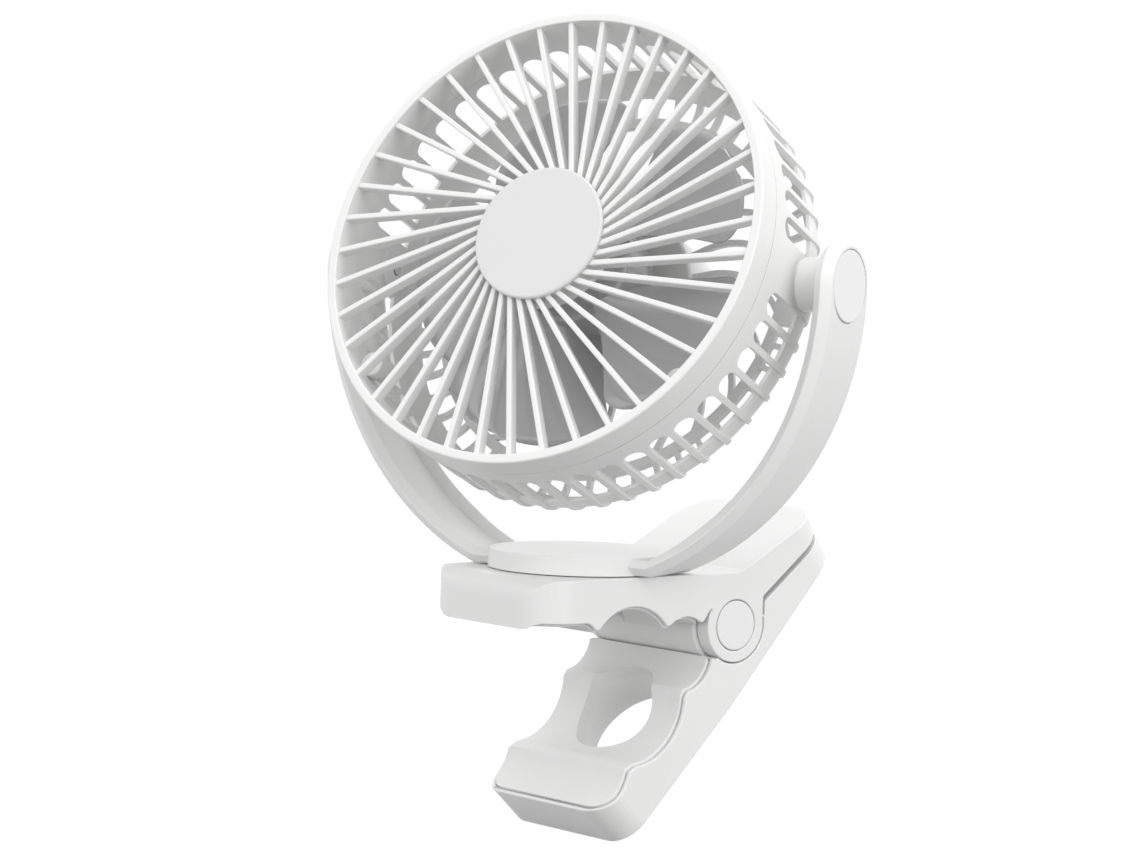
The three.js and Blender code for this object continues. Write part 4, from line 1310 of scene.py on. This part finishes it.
@dataclass
class Yoke:
    """The channel-shaped U that carries the head, with its base disc and its flush caps."""

    half_width: float = 94.5
    drop: float = 102.0
    floor: float = 0.5
    face: float = 12.7
    ridge: float = 15.4
    lip: float = 12.95
    depth: float = 6.2
    skin_thick: float = 2.4
    cap_radius: float = 11.5
    base_radius: float = 30.4
    base_top: float = 6.4
    boss_radius: float = 8.4
    collar_radius: float = 8.7
    collar_start: float = 79.0
    collar_end: float = 86.9
    screw_bore: float = 2.2
    screw_head: float = 4.7
    screw_seat: float = 90.3
    spigot_radius: float = 6.0
    spigot_end: float = -5.6
    thread_radius: float = 2.3
    thread_top: float = 2.4

    def section(self, depth: float) -> list[Point]:
        """The channel's closed section as inset and side, from the middle of its outer face.

        Args:
            depth: How deep the channel is.

        Returns:
            The section's closed outline.
        """
        half = [(0.0, self.face), (3.0, self.ridge), (depth, self.lip), (depth, self.lip - 0.75)]
        half.append((self.skin_thick, self.face - 1.1))
        radii = [0.5, 0.5, 0.3, 0.3, 0.8]
        mirrored = [(inset, -side) for inset, side in reversed(half)]
        corners = [(0.0, 0.0), *half, (self.skin_thick, 0.0), *mirrored]
        return rounded(corners, [0.0, *radii, 0.0, *reversed(radii)], 4)

    def channel(self) -> Piece:
        """Builds the channel from one round top down through the flat foot to the other.

        Returns:
            The channel.
        """
        foot = -math.asin((TILT_HEIGHT - self.floor) / self.drop)
        stations = 56

        def station(share: float, side: int) -> list[Point3]:
            """The channel's section at one place along an arm.

            Args:
                share: The place, from 0 at the pivot to 1 at the foot.
                side: Which arm, 1 or -1.

            Returns:
                The section's points in the yoke's frame.
            """
            angle = foot * share
            c, s = math.cos(angle), math.sin(angle)
            normal = Vector((c / self.half_width, s / self.drop)).normalized()
            if share == 1:
                normal = (normal + Vector((0.0, -1.0))).normalized()
            depth = self.depth - max(0.0, share - 0.8) * 5
            return [
                (
                    side * (self.half_width * c - normal.x * inset),
                    across,
                    TILT_HEIGHT + self.drop * s - normal.y * inset,
                )
                for inset, across in self.section(depth)
            ]

        right = [station(i / stations, 1) for i in range(stations + 1)]
        left = [station(i / stations, -1) for i in range(stations + 1)]
        skin = Skin(Place.YOKE)
        skin.rings([*right, *reversed(left)], cap=False)
        half_section = [spot for spot in self.section(self.depth) if spot[1] >= 0]
        turns = [math.pi * k / 40 for k in range(41)]

        def top(side: int, inset: float, across: float, turn: float) -> Point3:
            """A point on the round top of one arm, at an angle about its pivot."""
            outward = side * (self.half_width - inset)
            return (outward, across * math.cos(turn), TILT_HEIGHT + across * math.sin(turn))

        for side in (-1, 1):
            rows = [[top(side, *spot, turn) for spot in half_section] for turn in turns]
            for row, following in zip(rows, rows[1:]):
                for i in range(len(row) - 1):
                    corners = [row[i], row[i + 1], following[i + 1], following[i]]
                    steps = zip(corners, [corners[-1], *corners[:-1]])
                    skin.face([here for here, before in steps if math.dist(here, before) > 1e-4])
        return skin.made("yoke_channel")

    def rod(self, radius: float, start: float, end: float, side: int, facets: int = 72) -> Piece:
        """A round tool across an arm's top.

        Args:
            radius: Its radius.
            start: Its inner end's distance off the middle.
            end: Its outer end's distance.
            side: 1 for the right arm, -1 for the left.
            facets: How many flats go round it.

        Returns:
            The tool.
        """
        wall = [(radius, side * start), (radius, side * end)]
        return turned_piece("round_tool", Place.YOKE, wall, Axis.ACROSS, facets, centre=TILT_CENTRE)

    def arms(self) -> Piece:
        """Builds the yoke: the channel, its base and bosses, and the seats of its caps and screws.

        Returns:
            The yoke.
        """
        yoke = self.channel()
        disc = rounded(straight(ON_AXIS, self.base_radius, GAP, self.base_top), [0, 0.2, 0.6, 0], 5)
        base = turned_piece("base", Place.YOKE, disc, Axis.UP, 144)
        wall = [(self.spigot_radius, self.spigot_end), (self.spigot_radius, self.base_top - 1)]
        spigot = turned_piece("spigot", Place.YOKE, wall, Axis.UP, 48)
        face = self.half_width
        bosses = [self.rod(self.boss_radius, face - self.depth, face - 1, side) for side in (-1, 1)]
        combine(yoke, Merge.JOIN, base, spigot, *bosses)
        seats = []
        for side in (-1, 1):
            seats.append(self.rod(self.cap_radius + GAP, face - 1.3, face + 1, side, 96))
            seats.append(self.rod(self.screw_head, self.screw_seat, face + 1, side, 32))
            seats.append(self.rod(self.screw_bore, self.collar_start + 1, face + 5.5, side, 24))
        thread = [(self.thread_radius, self.spigot_end - 1), (self.thread_radius, self.thread_top)]
        seats.append(turned_piece("thread", Place.YOKE, thread, Axis.UP, 24))
        return smooth(combine(yoke, Merge.CUT, *seats))

    def cap(self, side: int, name: str) -> Piece:
        """Builds the flush disc over one pivot.

        Args:
            side: Which side, 1 or -1.
            name: The object's name.

        Returns:
            The disc.
        """
        inner, outer = self.half_width - 1, self.half_width + 0.05
        profile = rounded(straight(ON_AXIS, self.cap_radius, side * inner, side * outer), [0, 0.1, 0.3, 0], 4)
        return smooth(turned_piece(name, Place.YOKE, profile, Axis.ACROSS, 96, centre=TILT_CENTRE))

    def collar(self, side: int, name: str) -> Piece:
        """Builds the short round collar between the cage and one arm.

        Args:
            side: Which side, 1 or -1.
            name: The object's name.

        Returns:
            The collar.
        """
        ends = (side * self.collar_start, side * self.collar_end)
        profile = rounded(straight(self.screw_bore, self.collar_radius, *ends), [0.1, 0.5, 0.5, 0.1], 4)
        return smooth(turned_piece(name, Place.HEAD, profile, Axis.ACROSS, 72, hollow=True))

    def build(self) -> None:
        """Builds and dresses the yoke's pieces and the collars beside it."""
        settle(self.arms(), "yoke_arm", WHITE, "yoke")
        for side, hand in ((1, "right"), (-1, "left")):
            settle(self.cap(side, f"arm_disc_{hand}"), "yoke_arm", WHITE_SATIN, f"arm_cap_{hand}")
            settle(self.collar(side, f"collar_{hand}"), "head", WHITE, f"pivot_collar_{hand}")


# ---------------------------------------------------------------- clip


@dataclass
class Clip:
    """The spring clip: two levers with soft pads, the pin between them and its caps."""

    half: float = 31.4
    cheek: float = 6.0
    ear_radius: float = 12.3
    barrel_radius: float = 13.8
    pin: Point = (41.5, -17.55)
    pin_radius: float = 3.0
    pin_cap: float = 8.2
    pad_rim: float = 1.6
    pad_thick: float = 4.0
    near_edge: float = 0.9
    hole_radius: float = 16.6
    hole_reach: float = 38.2
    front_corner: float = 12.4
    tip_corner: float = 10.0
    pad_corner: float = 8.0
    rear_corner: float = 13.5
    slope: float = 47.0
    lever_tip: float = 80.8
    upper_front: float = -39.7
    upper_handle: tuple[Point, float, float] = ((44.0, 0.46), 28.45, 40.2)
    lower_handle: tuple[Point, float, float] = ((54.3, -10.2), 38.0, 37.0)
    seat_play: float = 0.02
    land: float = -14.8
    spigot_floor: float = -5.6
    spring_room: float = 8.2
    spring_half: float = 8.0
    well: float = 14.6
    glide_in: float = 14.0
    glide_out: float = 25.0

    # Places and lines of the two jaws

    def jaw_point(self, point: Point, level: float) -> Point3:
        """A point in the plane of the open lower lever.

        Args:
            point: Its place across the clip and along the lever from the pin.
            level: How far it stands towards the lever's back.

        Returns:
            The point in the clip's frame.
        """
        slope = math.radians(self.slope)
        along, out = point[1], level
        return (
            point[0],
            self.pin[0] - along * math.cos(slope) + out * math.sin(slope),
            self.pin[1] - along * math.sin(slope) - out * math.cos(slope),
        )

    def reach(self, point: Point) -> float:
        """How far a Y-Z point lies along the lower lever from the pin."""
        slope = math.radians(self.slope)
        return (self.pin[0] - point[0]) * math.cos(slope) + (self.pin[1] - point[1]) * math.sin(slope)

    def upper_line(self, lift: float) -> list[Point]:
        """The upper jaw's underside from front to back, lifted.

        Args:
            lift: How far it is lifted.

        Returns:
            Its points as y and z.
        """
        land = self.land
        line = [
            (self.upper_front + 0.8, -15.9),
            *bend((self.upper_front + 1.6, -15.3), (self.upper_front + 4, land), 0.2, 4),
            *bend((-23, land), (-18.9, -17.2), 0.5, 8),
            *bend((-17.3, -17.2), (11.4, -17.3), 6.9, 28),
            *bend((12.8, -17.3), (26.2, -16.9), 2.4, 14),
        ]
        return [(y, z + lift) for y, z in line]

    def lower_line(self, drop: float) -> list[Point]:
        """The lower jaw's pad side from the hinge to the tip, moved into the lever.

        Args:
            drop: How far it is moved into the lever.

        Returns:
            Its points as y and z.
        """
        line = [
            *bend((30.9, -27.4), (21, -37.6), 2.3, 14),
            *bend((19.6, -39.6), (-0.3, -60.7), 5.6, 28),
            *bend((-3.4, -62.3), (-13.5, -74.2), 2.0, 12),
        ]
        return [(y + drop * DIAGONAL, z - drop * DIAGONAL) for y, z in line]

    def round_tool(self, radius: float, start: float, end: float, facets: int = 96) -> Piece:
        """A round tool about the hinge pin.

        Args:
            radius: Its radius.
            start: Its left end across the clip.
            end: Its right end.
            facets: How many flats go round it.

        Returns:
            The tool.
        """
        wall = [(radius, start), (radius, end)]
        return turned_piece("round_tool", Place.CLIP, wall, Axis.ACROSS, facets, centre=(0.0, *self.pin))

    def side_rounds(self, radius: float, inner: float, outer: float) -> list[Piece]:
        """Round tools about the hinge pin, one on each side, between two distances off the middle."""
        return [self.round_tool(radius, *sorted((side * inner, side * outer))) for side in (-1, 1)]

    def upright(self, radius: float, start: float, end: float, facets: int = 72) -> Piece:
        """An upright round tool on the swivel's axis."""
        return turned_piece("round_tool", Place.CLIP, [(radius, start), (radius, end)], Axis.UP, facets)

    def side_form(self, outline: list[Point], half: float, name: str) -> Piece:
        """A Y-Z outline drawn across the clip."""
        return drawn_piece(name, Place.CLIP, outline, -half, half, along_x)

    def handle_trim(self, handle: tuple[Point, float, float]) -> Piece:
        """The tool that rounds a handle's corners, with its straight sides off the clip's.

        Args:
            handle: Where its rising plane starts, its rise in degrees and its length.

        Returns:
            The tool.
        """
        (y, z), degrees, length = handle
        rise = math.radians(degrees)
        start, side, front = length - self.rear_corner, self.half + 1, -130.0
        right = arc((self.half - self.rear_corner, start), self.rear_corner, 0, 90, 12)
        left = arc((self.rear_corner - self.half, start), self.rear_corner, 90, 180, 12)
        rear_plan = [(side, front), (side, start - 6), *right, *left, (-side, start - 6), (-side, front)]

        def risen(point: Point, level: float) -> Point3:
            """Turns a point of the handle's plan into a point in space, along the handle's rise.

            Args:
                point: The point of the plan.
                level: How far it stands off the plan.

            Returns:
                The point in space.
            """
            return (
                point[0],
                y + point[1] * math.cos(rise) - level * math.sin(rise),
                z + point[1] * math.sin(rise) + level * math.cos(rise),
            )

        return drawn_piece("handle_trim", Place.CLIP, rear_plan, -70, 70, risen)

    def jaw_form(self, outline: list[Point], start: float, end: float) -> Piece:
        """An outline in the plane of the open lower lever, drawn through it."""
        return drawn_piece("jaw_form", Place.CLIP, outline, start, end, self.jaw_point)

    # Upper jaw

    def upper_pad_block(self, margin: float, name: str) -> Piece:
        """The upper pad's solid, or with a margin the tool that cuts its seat.

        Args:
            margin: How far the tool stands off the pad, or 0 for the pad.
            name: The object's name.

        Returns:
            The solid.
        """
        half = self.half - self.pad_rim - GAP + margin
        line = self.upper_line(0)[1:]
        front, back = line[0][0] - margin, line[-1][0] + margin
        top = [(y, z + self.pad_thick + margin) for y, z in line]
        lid = [(back, top[-1][1]), *reversed(top[1:-1]), (front, top[0][1])]
        under = [(front, -22.0), (back, -22.0)] if margin else line
        block = self.side_form([*under, *lid], half, name)
        outline = plan(half, front, back, self.front_corner - 2, 1.2)
        trim = drawn_piece("trim", Place.CLIP, outline, -40, 10, along_z)
        return combine(block, Merge.KEEP_COMMON, trim)

    def upper_lever(self) -> Piece:
        """Builds the fixed lever: jaw, swivel seat, ears and the rising handle.

        Returns:
            The lever.
        """
        outline = [
            *arc((self.upper_front + 7, -7), 7, 180, 90, 12),
            *bend((41.8, 0), (44.6, 0.79), 0.12, 4),
            (81.0, 20.5),
            (84.0, 15.15),
            (53.6, -8.5),
            (53.6, -15.0),
            (30.0, -12.0),
            (27.6, -15.4),
            *reversed(self.upper_line(self.near_edge)),
            (self.upper_front, -16.4),
        ]
        lever = self.side_form(outline, self.half + 2, "upper_jaw")
        combine(lever, Merge.JOIN, *self.side_rounds(self.ear_radius, self.half - self.cheek, self.half + 3))
        front_plan = plan(self.half, self.upper_front, 120, self.front_corner, 1)
        trim = drawn_piece("trim", Place.CLIP, front_plan, -40, 40, along_z)
        combine(lever, Merge.KEEP_COMMON, trim, self.handle_trim(self.upper_handle))
        inner = self.half - self.cheek + GAP
        seat = straight(self.glide_in - GAP, self.glide_out + GAP, -1.2, 1.0)
        combine(
            lever,
            Merge.CUT,
            self.round_tool(self.barrel_radius + 1.1, -inner, inner),
            self.upper_pad_block(GAP, "pad_seat"),
            self.round_tool(self.pin_radius + GAP, -40, 40, 48),
            *self.side_rounds(self.pin_cap + GAP, self.half - 1.8, self.half + 1),
            self.upright(6.3, -30, 5, 48),
            self.upright(self.well, -30, self.spigot_floor),
            turned_piece("glide_seat", Place.CLIP, seat, Axis.UP, hollow=True),
        )
        return soften(lever, 0.5)

    def upper_pad(self) -> Piece:
        """Builds the upper jaw's soft pad with the round well of the swivel screw.

        Returns:
            The pad.
        """
        pad = self.upper_pad_block(0.0, "upper_jaw_pad")
        combine(pad, Merge.CUT, self.upright(self.well + 0.4, -40, 10))
        return soften(pad, 0.4)

    # Lower jaw

    def lower_pad_block(self, margin: float, name: str) -> Piece:
        """The lower pad's solid, or with a margin the tool that cuts its seat.

        Args:
            margin: How far the tool stands off the pad, or 0 for the pad.
            name: The object's name.

        Returns:
            The solid.
        """
        half = self.half - self.pad_rim - GAP + margin
        face = self.lower_line(0)
        shift = (self.pad_thick + (self.seat_play if margin else 0)) * DIAGONAL
        tip = (face[-1][0] - margin * 0.7, face[-1][1] - margin * 0.7)
        root = (face[0][0] + margin * 0.7, face[0][1] + margin * 0.7)

        def deep(point: Point) -> Point:
            """Moves a point into the lever."""
            return (point[0] + shift, point[1] - shift)

        def raised(point: Point) -> Point:
            """Moves a point out of the lever."""
            return (point[0] - 6, point[1] + 6)

        inner = [deep(point) for point in reversed(face)]
        if margin:
            outer = [raised(point) for point in (root, tip)]
            outline = [*outer, tip, deep(tip), *inner, deep(root), root]
        else:
            outline = [*face, *inner]
        block = self.side_form(outline, half, name)
        trim = self.jaw_form(plan(half, self.reach(root), self.reach(tip), 1.2, self.pad_corner), -60, 60)
        return combine(block, Merge.KEEP_COMMON, trim)

    def hole(self) -> Piece:
        """The tool for the round hole through the lower jaw."""
        circle = arc((0.0, self.hole_reach), self.hole_radius, 0, 360, 96)[:-1]
        return self.jaw_form(circle, -30, 60)

    def lower_lever(self) -> Piece:
        """Builds the moving lever: jaw, barrel with the spring's room, and handle.

        Returns:
            The lever.
        """
        outline = [
            (54.3, -10.2),
            (83.4, 12.5),
            *bend((85.8, 9.4), (85.0, 4.3), 1.0, 10),
            (41.3, -43.8),
            (-3.0, -87.5),
            (-15.0, -76.5),
            (-13.7, -75.1),
            *reversed(self.lower_line(self.near_edge)),
            (33.4, -28.6),
            self.pin,
            (54.3, -15.2),
        ]
        lever = self.side_form(outline, self.half, "lower_jaw")
        trim = self.jaw_form(plan(self.half, -110, self.lever_tip, 1, self.tip_corner), -70, 70)
        combine(lever, Merge.KEEP_COMMON, trim, self.handle_trim(self.lower_handle))
        inner = self.half - self.cheek
        combine(lever, Merge.JOIN, self.round_tool(self.barrel_radius, -inner, inner))
        half_room = self.spring_half + 0.6
        y, z = self.pin
        low, high, top = y - 2, y + self.spring_room, z + self.barrel_radius + 2
        mouth = self.side_form([(low, z), (high, z), (high, top), (low, top)], half_room, "spring_mouth")
        combine(
            lever,
            Merge.CUT,
            *self.side_rounds(self.ear_radius + 0.4, inner, self.half + 1),
            self.round_tool(self.spring_room, -half_room, half_room, 64),
            mouth,
            self.round_tool(self.pin_radius + GAP, -40, 40, 48),
            self.lower_pad_block(GAP, "pad_seat"),
        )
        bevelled(lever, 0.5)
        return smooth(combine(lever, Merge.CUT, self.hole()))

    def lower_pad(self) -> Piece:
        """Builds the lower jaw's soft pad, with the hole's edge flush with the lever's."""
        pad = bevelled(self.lower_pad_block(0.0, "lower_jaw_pad"), 0.4)
        return smooth(combine(pad, Merge.CUT, self.hole()))

    # Small pieces

    def cap(self, side: int, name: str) -> Piece:
        """Builds the flat cap over one end of the pin.

        Args:
            side: Which side, 1 or -1.
            name: The object's name.

        Returns:
            The cap.
        """
        inner, outer = side * (self.half - 1.5), side * self.half
        profile = rounded(straight(ON_AXIS, self.pin_cap, inner, outer), [0, 0.1, 0.35, 0], 4)
        return smooth(turned_piece(name, Place.CLIP, profile, Axis.ACROSS, 80, centre=(0.0, *self.pin)))

    def glide(self) -> Piece:
        """Builds the flat ring that the yoke's base turns on."""
        profile = rounded(straight(self.glide_in, self.glide_out, -0.9, 0.05), 0.12, 2)
        return smooth(turned_piece("glide_ring", Place.CLIP, profile, Axis.UP, hollow=True))

    def spring(self) -> Piece:
        """Builds the coil round the pin.

        Returns:
            The coil.
        """
        coil, wire, turns, per_turn, sides = 5.6, 0.8, 4, 36, 12
        steps = turns * per_turn
        length = 2 * (self.spring_half - 2)
        rings = []
        for i in range(steps + 1):
            angle = 2 * math.pi * i / per_turn + math.pi / 2
            ring = []
            for k in range(sides):
                around = 2 * math.pi * k / sides
                radius = coil + wire * math.cos(around)
                x = -length / 2 + length * i / steps + wire * math.sin(around)
                y = self.pin[0] + radius * math.cos(angle)
                ring.append((x, y, self.pin[1] + radius * math.sin(angle)))
            rings.append(ring)
        skin = Skin(Place.CLIP)
        skin.rings(rings)
        return smooth(skin.made("pin_spring"))

    def build(self) -> None:
        """Builds and dresses the clip's pieces."""
        settle(self.upper_lever(), "clip", WHITE, "upper_lever")
        settle(self.upper_pad(), "clip", SOFT_WHITE, "upper_pad")
        settle(self.lower_lever(), "jaw", WHITE, "lower_lever")
        settle(self.lower_pad(), "jaw", SOFT_WHITE, "lower_pad")
        settle(self.spring(), "clip", STEEL, "torsion_spring")
        settle(self.glide(), "clip", GLIDE_WHITE, "swivel_glide")
        for side, hand in ((1, "right"), (-1, "left")):
            settle(self.cap(side, f"pin_disc_{hand}"), "clip", WHITE_SATIN, f"pin_cap_{hand}")


# ---------------------------------------------------------------- what stays as packed


@dataclass
class InnerWorks:
    """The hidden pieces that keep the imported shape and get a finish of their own."""

    def build(self) -> None:
        """Dresses the motor, the electronics, the screws and the washers."""
        finishes = {
            STEEL: (
                "bearing_front",
                "bearing_rear",
                "rotor_cup",
                "motor_shaft",
                "friction_washer_right",
                "friction_washer_left",
                "pivot_screw_right",
                "pivot_screw_left",
                "swivel_screw",
                "swivel_washer",
                "hinge_pin",
                "usb_port",
            ),
            LAMINATION: ("stator_core",),
            COPPER: ("windings",),
            MAGNET: ("rotor_magnet",),
            BOARD: ("circuit_board",),
            FOIL: ("battery_cell",),
        }
        for finish, nodes in finishes.items():
            for node in nodes:
                dress_node(node, finish)


# ---------------------------------------------------------------- studio


@dataclass
class Studio:
    """The camera of the photograph, a pale floor and soft light."""

    camera_place: Point3 = (0.8703, -0.7067, 0.1250)
    camera_right: Point3 = (0.6395, 0.7682, 0.0304)
    camera_up: Point3 = (-0.0625, 0.0126, 0.9980)
    camera_back: Point3 = (0.7663, -0.6401, 0.0561)
    lens: float = 109.75
    sensor: float = 36.0
    ambient: float = 1.0
    floor_white: float = 1.2
    floor_share: float = 0.8
    floor_tone: float = 0.33
    floor_drop: float = 0.0006
    floor_half: float = 12.0
    target: Point3 = (0.0, 0.02, 0.09)
    lamps: tuple[tuple[str, Point3, float, float], ...] = (
        ("top_softbox", (0.1, 0.15, 1.35), 1.1, 5.0),
        ("right_softbox", (1.3, 0.1, 0.45), 1.0, 6.0),
        ("front_softbox", (0.1, -1.3, 0.15), 1.0, 4.2),
        ("rear_softbox", (-0.9, 0.75, 0.8), 1.0, 2.0),
    )

    def camera(self) -> None:
        """Sets the camera where the photograph was taken from."""
        data = bpy.data.cameras.new("photo_camera")
        data.sensor_width = self.sensor
        data.lens = self.lens
        data.clip_start, data.clip_end = 0.01, 50.0
        made = bpy.data.objects.new("photo_camera", data)
        turn = Matrix((self.camera_right, self.camera_up, self.camera_back)).transposed().to_4x4()
        made.matrix_world = Matrix.Translation(self.camera_place) @ turn
        bpy.context.scene.collection.objects.link(made)
        bpy.context.scene.camera = made

    def seen(self, nodes: Nodes, links: Links, share: float) -> Socket:
        """Makes a share that holds only for what the camera sees, straight or through gloss and glass.

        Args:
            nodes: The nodes to add to.
            links: Their links.
            share: The share for those rays.

        Returns:
            The share, which is 0 for all other rays.
        """
        rays = nodes.new("ShaderNodeLightPath")
        total = rays.outputs["Is Camera Ray"]
        for kind in ("Is Glossy Ray", "Is Transmission Ray"):
            added = nodes.new("ShaderNodeMath")
            added.operation = "ADD"
            added.use_clamp = True
            links.new(total, added.inputs[0])
            links.new(rays.outputs[kind], added.inputs[1])
            total = added.outputs["Value"]
        scaled = nodes.new("ShaderNodeMath")
        scaled.operation = "MULTIPLY"
        scaled.inputs[1].default_value = share
        links.new(total, scaled.inputs[0])
        return scaled.outputs["Value"]

    def world(self) -> None:
        """Lights the scene evenly from all round, and shows white to the camera, gloss and glass."""
        world = bpy.data.worlds.new("studio")
        world.use_nodes = True
        bpy.context.scene.world = world
        nodes, links = world.node_tree.nodes, world.node_tree.links
        light = nodes["Background"]
        light.inputs["Color"].default_value = (1.0, 1.0, 1.0, 1.0)
        light.inputs["Strength"].default_value = self.ambient
        shown = nodes.new("ShaderNodeBackground")
        shown.inputs["Color"].default_value = (1.0, 1.0, 1.0, 1.0)
        shown.inputs["Strength"].default_value = 1.0
        mix = nodes.new("ShaderNodeMixShader")
        links.new(self.seen(nodes, links, 1.0), mix.inputs["Fac"])
        links.new(light.outputs["Background"], mix.inputs[1])
        links.new(shown.outputs["Background"], mix.inputs[2])
        links.new(mix.outputs["Shader"], nodes["World Output"].inputs["Surface"])

    def floor(self) -> None:
        """Lays a large pale floor under the lowest piece."""
        low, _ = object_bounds()
        data = bpy.data.meshes.new("studio_floor")
        mesh = bmesh.new()
        bmesh.ops.create_grid(mesh, x_segments=1, y_segments=1, size=self.floor_half)
        bmesh.ops.translate(mesh, verts=mesh.verts, vec=(0.0, 0.0, low.z - self.floor_drop))
        mesh.to_mesh(data)
        mesh.free()
        made = bpy.data.objects.new("studio_floor", data)
        bpy.context.scene.collection.objects.link(made)
        data.materials.append(self.floor_material())
        made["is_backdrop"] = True

    def floor_material(self) -> bpy.types.Material:
        """A pale matte floor, brightened to white for the camera but for the object's shadow.

        Returns:
            The material.
        """
        made = bpy.data.materials.new("studio_floor")
        made.use_nodes = True
        nodes, links = made.node_tree.nodes, made.node_tree.links
        surface = nodes["Principled BSDF"]
        surface.inputs["Base Color"].default_value = (self.floor_tone, self.floor_tone, self.floor_tone, 1.0)
        surface.inputs["Roughness"].default_value = 0.9
        surface.inputs["Specular IOR Level"].default_value = 0.0
        lift = nodes.new("ShaderNodeEmission")
        lift.inputs["Color"].default_value = (1.0, 1.0, 1.0, 1.0)
        lift.inputs["Strength"].default_value = self.floor_white
        half = nodes.new("ShaderNodeMixShader")
        links.new(self.seen(nodes, links, self.floor_share), half.inputs["Fac"])
        links.new(surface.outputs["BSDF"], half.inputs[1])
        links.new(lift.outputs["Emission"], half.inputs[2])
        links.new(half.outputs["Shader"], nodes["Material Output"].inputs["Surface"])
        return made

    def lamp(self, name: str, place: Point3, size: float, power: float) -> None:
        """Hangs a square soft lamp that points at the fan.

        Args:
            name: The lamp's name.
            place: Where it hangs, in metres.
            size: Its width, in metres.
            power: Its power in watts.
        """
        data = bpy.data.lights.new(name, "AREA")
        data.shape = "SQUARE"
        data.size = size
        data.energy = power
        made = bpy.data.objects.new(name, data)
        made.location = place
        made.rotation_mode = "QUATERNION"
        made.rotation_quaternion = (Vector(self.target) - Vector(place)).to_track_quat("-Z", "Y")
        bpy.context.scene.collection.objects.link(made)

    def build(self) -> None:
        """Sets up the camera, the world, the floor and the lamps."""
        self.camera()
        self.world()
        self.floor()
        for lamp in self.lamps:
            self.lamp(*lamp)
        scene = bpy.context.scene
        scene.view_settings.view_transform = "Standard"
        log.info("studio is set up with camera %s", scene.camera.name)


def main() -> None:
    """Builds every sub-assembly in order."""
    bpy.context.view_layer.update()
    for assembly in (FrontGrille, RearCage, RearControls, FanWheel, Yoke, Clip, InnerWorks, Studio):
        assembly().build()
        log.info("%s is done", assembly.__name__)


if __name__ == "__main__":
    logging.basicConfig(level=logging.INFO, format="%(name)s: %(message)s")
    main()
